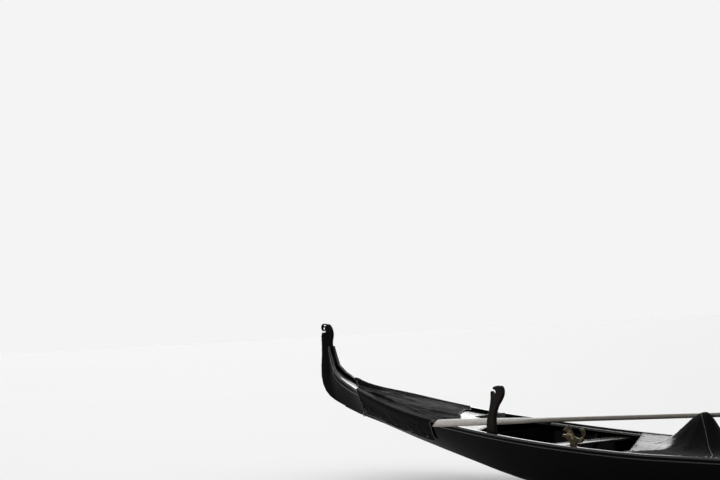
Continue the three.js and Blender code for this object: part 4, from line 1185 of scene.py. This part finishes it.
class GONDOLA_OT_covers(bpy.types.Operator):
    """Drapes the stern cover and the seat cover, with their hems, seams and eyelets"""
    bl_idname = "gondola.covers"
    bl_label = "Covers"

    def execute(self, context):
        stern = self.cover("draped_stern_cover", "tarpaulin", STERN_COVER, stern_cover_point, "stern_cover")
        seat = self.cover("draped_seat_cover", "wet", SEAT_COVER, seat_cover_point, "seat_cover")
        context.view_layer.update()
        hem = self.hem("hem_of_stern_cover", stern_cover_point)
        rings = self.rings("eyelets_of_stern_cover", self.stern_rings(stern[0]))
        self.declare(*stern, ["stern_deck", "sheer_rail_port", "sheer_rail_starboard"], [hem, rings])
        hem = self.hem("hem_of_seat_cover", seat_cover_point)
        seams = self.seams()
        rings = self.rings("eyelets_of_seat_cover", self.seat_rings(seat[0]))
        self.declare(*seat, ["seat_back", "inner_gunwale_port", "inner_gunwale_starboard", "middle_thwart"],
                     [hem, seams, rings])
        return {"FINISHED"}

    def cover(self, name, look, cut, point, node):
        cloth = cloth_grid(name, cut["columns"], cut["rows"], point)
        area = sum(face.area for face in cloth.data.polygons)
        width, length = flat_size(point)
        face_outwards(cloth)
        up = sum(face.normal.z * face.area for face in cloth.data.polygons)
        if up < 0:
            edit(cloth, bpy.ops.mesh.flip_normals)
        modify(cloth, "SOLIDIFY", thickness=sizes().cloth, offset=-1)
        activate(cloth)
        bpy.ops.object.shade_smooth()
        finish_piece(cloth, name, look, "hull", node)
        return cloth, width, length, area

    def declare(self, cloth, width, length, area, rests_on, with_pieces):
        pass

    def hem(self, name, point):
        """The turned and corded edge, all round the cloth."""
        steps = 150
        shares = [k / steps for k in range(steps)]
        path = ([point(t, 0) for t in shares] + [point(1, t) for t in shares]
                + [point(1 - t, 1) for t in shares] + [point(0, 1 - t) for t in shares])
        return finish_piece(tube(name, [path], HEM_THICK, cyclic=True), name, "hem", "hull")

    def seams(self):
        """The two corded seams from the peak to the sides."""
        shares = [k / 120 for k in range(121)]
        paths = [[seat_cover_point(mix(0.5, end, t), mix(*SEAM_RUN, t)) for t in shares] for end in (0.0, 1.0)]
        return finish_piece(tube("seams_of_seat_cover", paths, SEAM_THICK), "seams_of_seat_cover", "hem", "hull")

    def rings(self, name, places):
        return finish_piece(copies(eyelet(), name, places), name, "brass", "hull")

    def stern_rings(self, cloth):
        places = []
        for side, step in STERN_RINGS["steps"]:
            for k in range(STERN_RINGS["count"]):
                station = STERN_RINGS["from"] + step * k
                height = Lines(station).sheer - STERN_COVER["skirt"] + STERN_RINGS["over"]
                places.append(on(cloth, (station - MIDDLE, side, height), (0, -side, 0)))
        return places

    def seat_rings(self, cloth):
        side, end, gaps = SEAT_RINGS["in_side"], SEAT_RINGS["in_end"], SEAT_RINGS["gaps"]
        along = [mix(end, 1 - end, k / gaps) for k in range(1, gaps + 1)]
        across = [mix(side, 1 - side, k / gaps) for k in range(gaps + 1)]
        marks = [(u, end) for u in across]
        marks += [(u, v) for u in (side, 1 - side) for v in along]
        marks += [(u, 1 - end) for u in across[1:-1]]
        places = []
        for u, v in marks:
            place = seat_cover_point(u, v)
            places.append(from_above(cloth, place.x, place.y, place.z + 0.3))
        return places


# The stern cover's tie
TIE = {"station": 0.64, "thick": 0.004, "lay": 0.026, "knot_lay": 0.024, "steps": 520}
# Its way down each side from the hem: station, share of the planking's height, and room to the planking
TIE_DOWN = ((0.800, 0.42, 0.026), (0.735, 0.32, 0.024), (0.690, 0.20, 0.013))
KNOT = {"size": 0.0048, "steps": 120}
# How far a strand's middle is off the rope's, as a share of its thickness
STRAND_OFF = 0.52


def strands(path, thick, lay):
    """Three strands laid round a path of close points."""
    normal = Vector((0, 0, 1)).cross(path[1] - path[0])
    if normal.length < 1e-6:
        normal = Vector((1, 0, 0))
    run = 0
    made = [[], [], []]
    for k, place in enumerate(path):
        way = (path[min(k + 1, len(path) - 1)] - path[max(k - 1, 0)]).normalized()
        normal = (normal - way * normal.dot(way)).normalized()
        beside = way.cross(normal)
        run += (place - path[max(k - 1, 0)]).length
        for s in range(3):
            turn = math.tau * (run / lay + s / 3)
            made[s].append(place + (normal * math.cos(turn) + beside * math.sin(turn)) * thick * STRAND_OFF)
    return made


def tie_path():
    """From the starboard hem under the bottom to the port hem."""

    def skin(side, station, share, room):
        lines = Lines(station)
        z = mix(lines.bottom, lines.sheer, share)
        return Vector((station - MIDDLE, side * (lines.skin(side, z) + room), z))

    under = Lines(TIE["station"])
    x = TIE["station"] - MIDDLE

    def half(side):
        return [skin(side, *step) for step in TIE_DOWN] + [
            Vector((x, side * (under.chine[side] + 0.009), under.bottom - 0.002)),
            Vector((x, side * under.chine[side] * 0.5, under.bottom - 0.0055)),
        ]

    points = half(STARBOARD) + half(PORT)[::-1]
    return [spline(points, k / TIE["steps"]) for k in range(TIE["steps"] + 1)]


def knot_path(middle, normal):
    """A closed overhand knot round a middle."""
    turned = normal.to_track_quat("Z", "Y").to_matrix()
    made = []
    for k in range(KNOT["steps"]):
        t = math.tau * k / KNOT["steps"]
        place = Vector((math.sin(t) + 2 * math.sin(2 * t), math.cos(t) - 2 * math.cos(2 * t), -0.8 * math.sin(3 * t)))
        made.append(middle + turned @ (place * KNOT["size"]))
    return made + made[:1]


class GONDOLA_OT_tie(bpy.types.Operator):
    """Lays the cord that ties the stern cover down, with a knot at each end"""
    bl_idname = "gondola.tie"
    bl_label = "Tie"

    def execute(self, context):
        path = tie_path()
        paths = strands(path, TIE["thick"], TIE["lay"])
        for end, side in ((path[0], STARBOARD), (path[-1], PORT)):
            normal = Vector((0.15, side, 0.1)).normalized()
            paths += strands(knot_path(end + normal * 0.006, normal), TIE["thick"] * 0.8, TIE["knot_lay"])
        rope = tube("cover_tie_rope", paths, TIE["thick"] * 0.5)
        finish_piece(rope, "cover_tie_rope", "rope", "hull", "cover_tie")
        return {"FINISHED"}


# Fastenings. Nails and screws: how far apart, and how far in from the edge
DECK_NAILS = {"apart": 0.15, "in": 0.018,
              "rows": (("faired_stern_deck", 0.62, 2.72), ("faired_bow_deck", 7.83, 10.08))}
GUNWALE_SCREWS = {"apart": 0.32, "in": 0.034, "to": 7.72,
                  "rows": (("eased_inner_gunwale_port", PORT, 2.85),
                           ("eased_inner_gunwale_starboard", STARBOARD, 3.35))}
THWART_SCREWS = {"in": 0.045, "shares": (0.22, 0.5, 0.78)}
BOARD_SCREWS = (("floorboards_aft", (3.30, 3.87)), ("floorboards_middle", (4.25, 6.28)),
                ("floorboards_fore", (6.98, 7.62)))
# Radius and height of the heads
NAIL_HEAD = (0.004, 0.0012)
SCREW_HEAD = (0.005, 0.0009)
RIVET_HEAD = (0.004, 0.0015)
# Rivets of the bow iron: station and height
IRON_RIVETS = [(10.555, 0.726), (10.618, 0.822), (10.647, 0.934), (10.652, 1.048), (10.640, 1.160), (10.622, 1.262)]


def stud(radius, high):
    """A low round head."""
    bpy.ops.mesh.primitive_cylinder_add(vertices=10, radius=radius, depth=2 * high)
    head = bpy.context.object
    modify(head, "BEVEL", width=high * 0.7, segments=2, limit_method="ANGLE", angle_limit=math.radians(60))
    return head


class GONDOLA_OT_fastenings(bpy.types.Operator):
    """Sets the nails and screws of the decks, gunwales, boards and bow iron"""
    bl_idname = "gondola.fastenings"
    bl_label = "Fastenings"

    def execute(self, context):
        context.view_layer.update()
        self.nails()
        self.screws()
        self.rivets()
        return {"FINISHED"}

    def heads(self, name, head, look, places):
        finish_piece(copies(stud(*head), name, places), name, look, "hull")

    def nails(self):
        """Along both edges of the decks."""
        places = []
        for name, start, end in DECK_NAILS["rows"]:
            deck = bpy.data.objects[name]
            count = int((end - start) / DECK_NAILS["apart"])
            for k in range(count + 1):
                station = mix(start, end, k / count)
                for side in (PORT, STARBOARD):
                    lines = Lines(station)
                    y = side * (lines.skin(side, lines.sheer - DECK_DROP) - STRAKE - DECK_NAILS["in"])
                    places.append(from_above(deck, station - MIDDLE, y, 2.0))
        self.heads("deck_nails", NAIL_HEAD, "varnish", places)

    def screws(self):
        """Brass screws in the inner gunwales, thwarts and floorboards."""
        places = []
        for name, side, start in GUNWALE_SCREWS["rows"]:
            gunwale = bpy.data.objects[name]
            for k in range(int((GUNWALE_SCREWS["to"] - start) / GUNWALE_SCREWS["apart"]) + 1):
                station = start + GUNWALE_SCREWS["apart"] * k
                y = side * (Lines(station).breadth[side] - RAIL_INBOARD - GUNWALE_SCREWS["in"])
                places.append(from_above(gunwale, station - MIDDLE, y))
        for node in THWARTS:
            low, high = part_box(node)
            board = bpy.data.objects["eased_" + node]
            for end, side in ((high.y, -1), (low.y, 1)):
                for share in THWART_SCREWS["shares"]:
                    x, y = mix(low.x, high.x, share), end + side * THWART_SCREWS["in"]
                    places.append(from_above(board, x, y))
        for node, stations in BOARD_SCREWS:
            low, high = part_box(node)
            board = bpy.data.objects["boards_" + node]
            for station in stations:
                if not low.x < station - MIDDLE < high.x:
                    continue
                y = low.y + BOARD_WIDTH / 2
                while y < high.y:
                    met, place, normal, _ = board.ray_cast(Vector((station - MIDDLE, y, 1.5)), Vector((0, 0, -1)))
                    if met and normal.z > 0.9:
                        places.append((place, normal))
                    y += BOARD_WIDTH
        self.heads("brass_screws", SCREW_HEAD, "brass", places)

    def rivets(self):
        """Through the sides of the bow iron's strap."""
        iron = bpy.data.objects["polished_bow_iron"]
        places = []
        for station, height in IRON_RIVETS:
            for side in (PORT, STARBOARD):
                places.append(on(iron, (station - MIDDLE, 0.3 * side, height), (0, -side, 0)))
        self.heads("iron_rivets", RIVET_HEAD, "steel", places)


class GONDOLA_PT_panel(bpy.types.Panel):
    bl_label = "Gondola"
    bl_idname = "GONDOLA_PT_panel"
    bl_space_type = "VIEW_3D"
    bl_region_type = "UI"
    bl_category = "Gondola"

    def draw(self, context):
        for settings in (context.scene.gondola_sizes, context.scene.gondola_colours):
            for key in settings.bl_rna.properties.keys():
                if key not in ("rna_type", "name"):
                    self.layout.prop(settings, key)
        for operator in OPERATORS:
            self.layout.operator(operator.bl_idname)


OPERATORS = [
    GONDOLA_OT_stage,
    GONDOLA_OT_hull,
    GONDOLA_OT_inside,
    GONDOLA_OT_decks,
    GONDOLA_OT_seat,
    GONDOLA_OT_metalwork,
    GONDOLA_OT_rowing_gear,
    GONDOLA_OT_covers,
    GONDOLA_OT_tie,
    GONDOLA_OT_fastenings,
]
CLASSES = [GONDOLA_PG_sizes, GONDOLA_PG_colours, *OPERATORS, GONDOLA_PT_panel]


def register():
    for made in CLASSES:
        bpy.utils.register_class(made)
    bpy.types.Scene.gondola_sizes = bpy.props.PointerProperty(type=GONDOLA_PG_sizes)
    bpy.types.Scene.gondola_colours = bpy.props.PointerProperty(type=GONDOLA_PG_colours)


def unregister():
    del bpy.types.Scene.gondola_colours
    del bpy.types.Scene.gondola_sizes
    for made in reversed(CLASSES):
        bpy.utils.unregister_class(made)


def main():
    register()
    for operator in OPERATORS:
        family, call = operator.bl_idname.split(".")
        result = getattr(getattr(bpy.ops, family), call)()
        if "FINISHED" not in result:
            raise RuntimeError(operator.bl_idname + " did not finish")


if __name__ == "__main__":
    main()
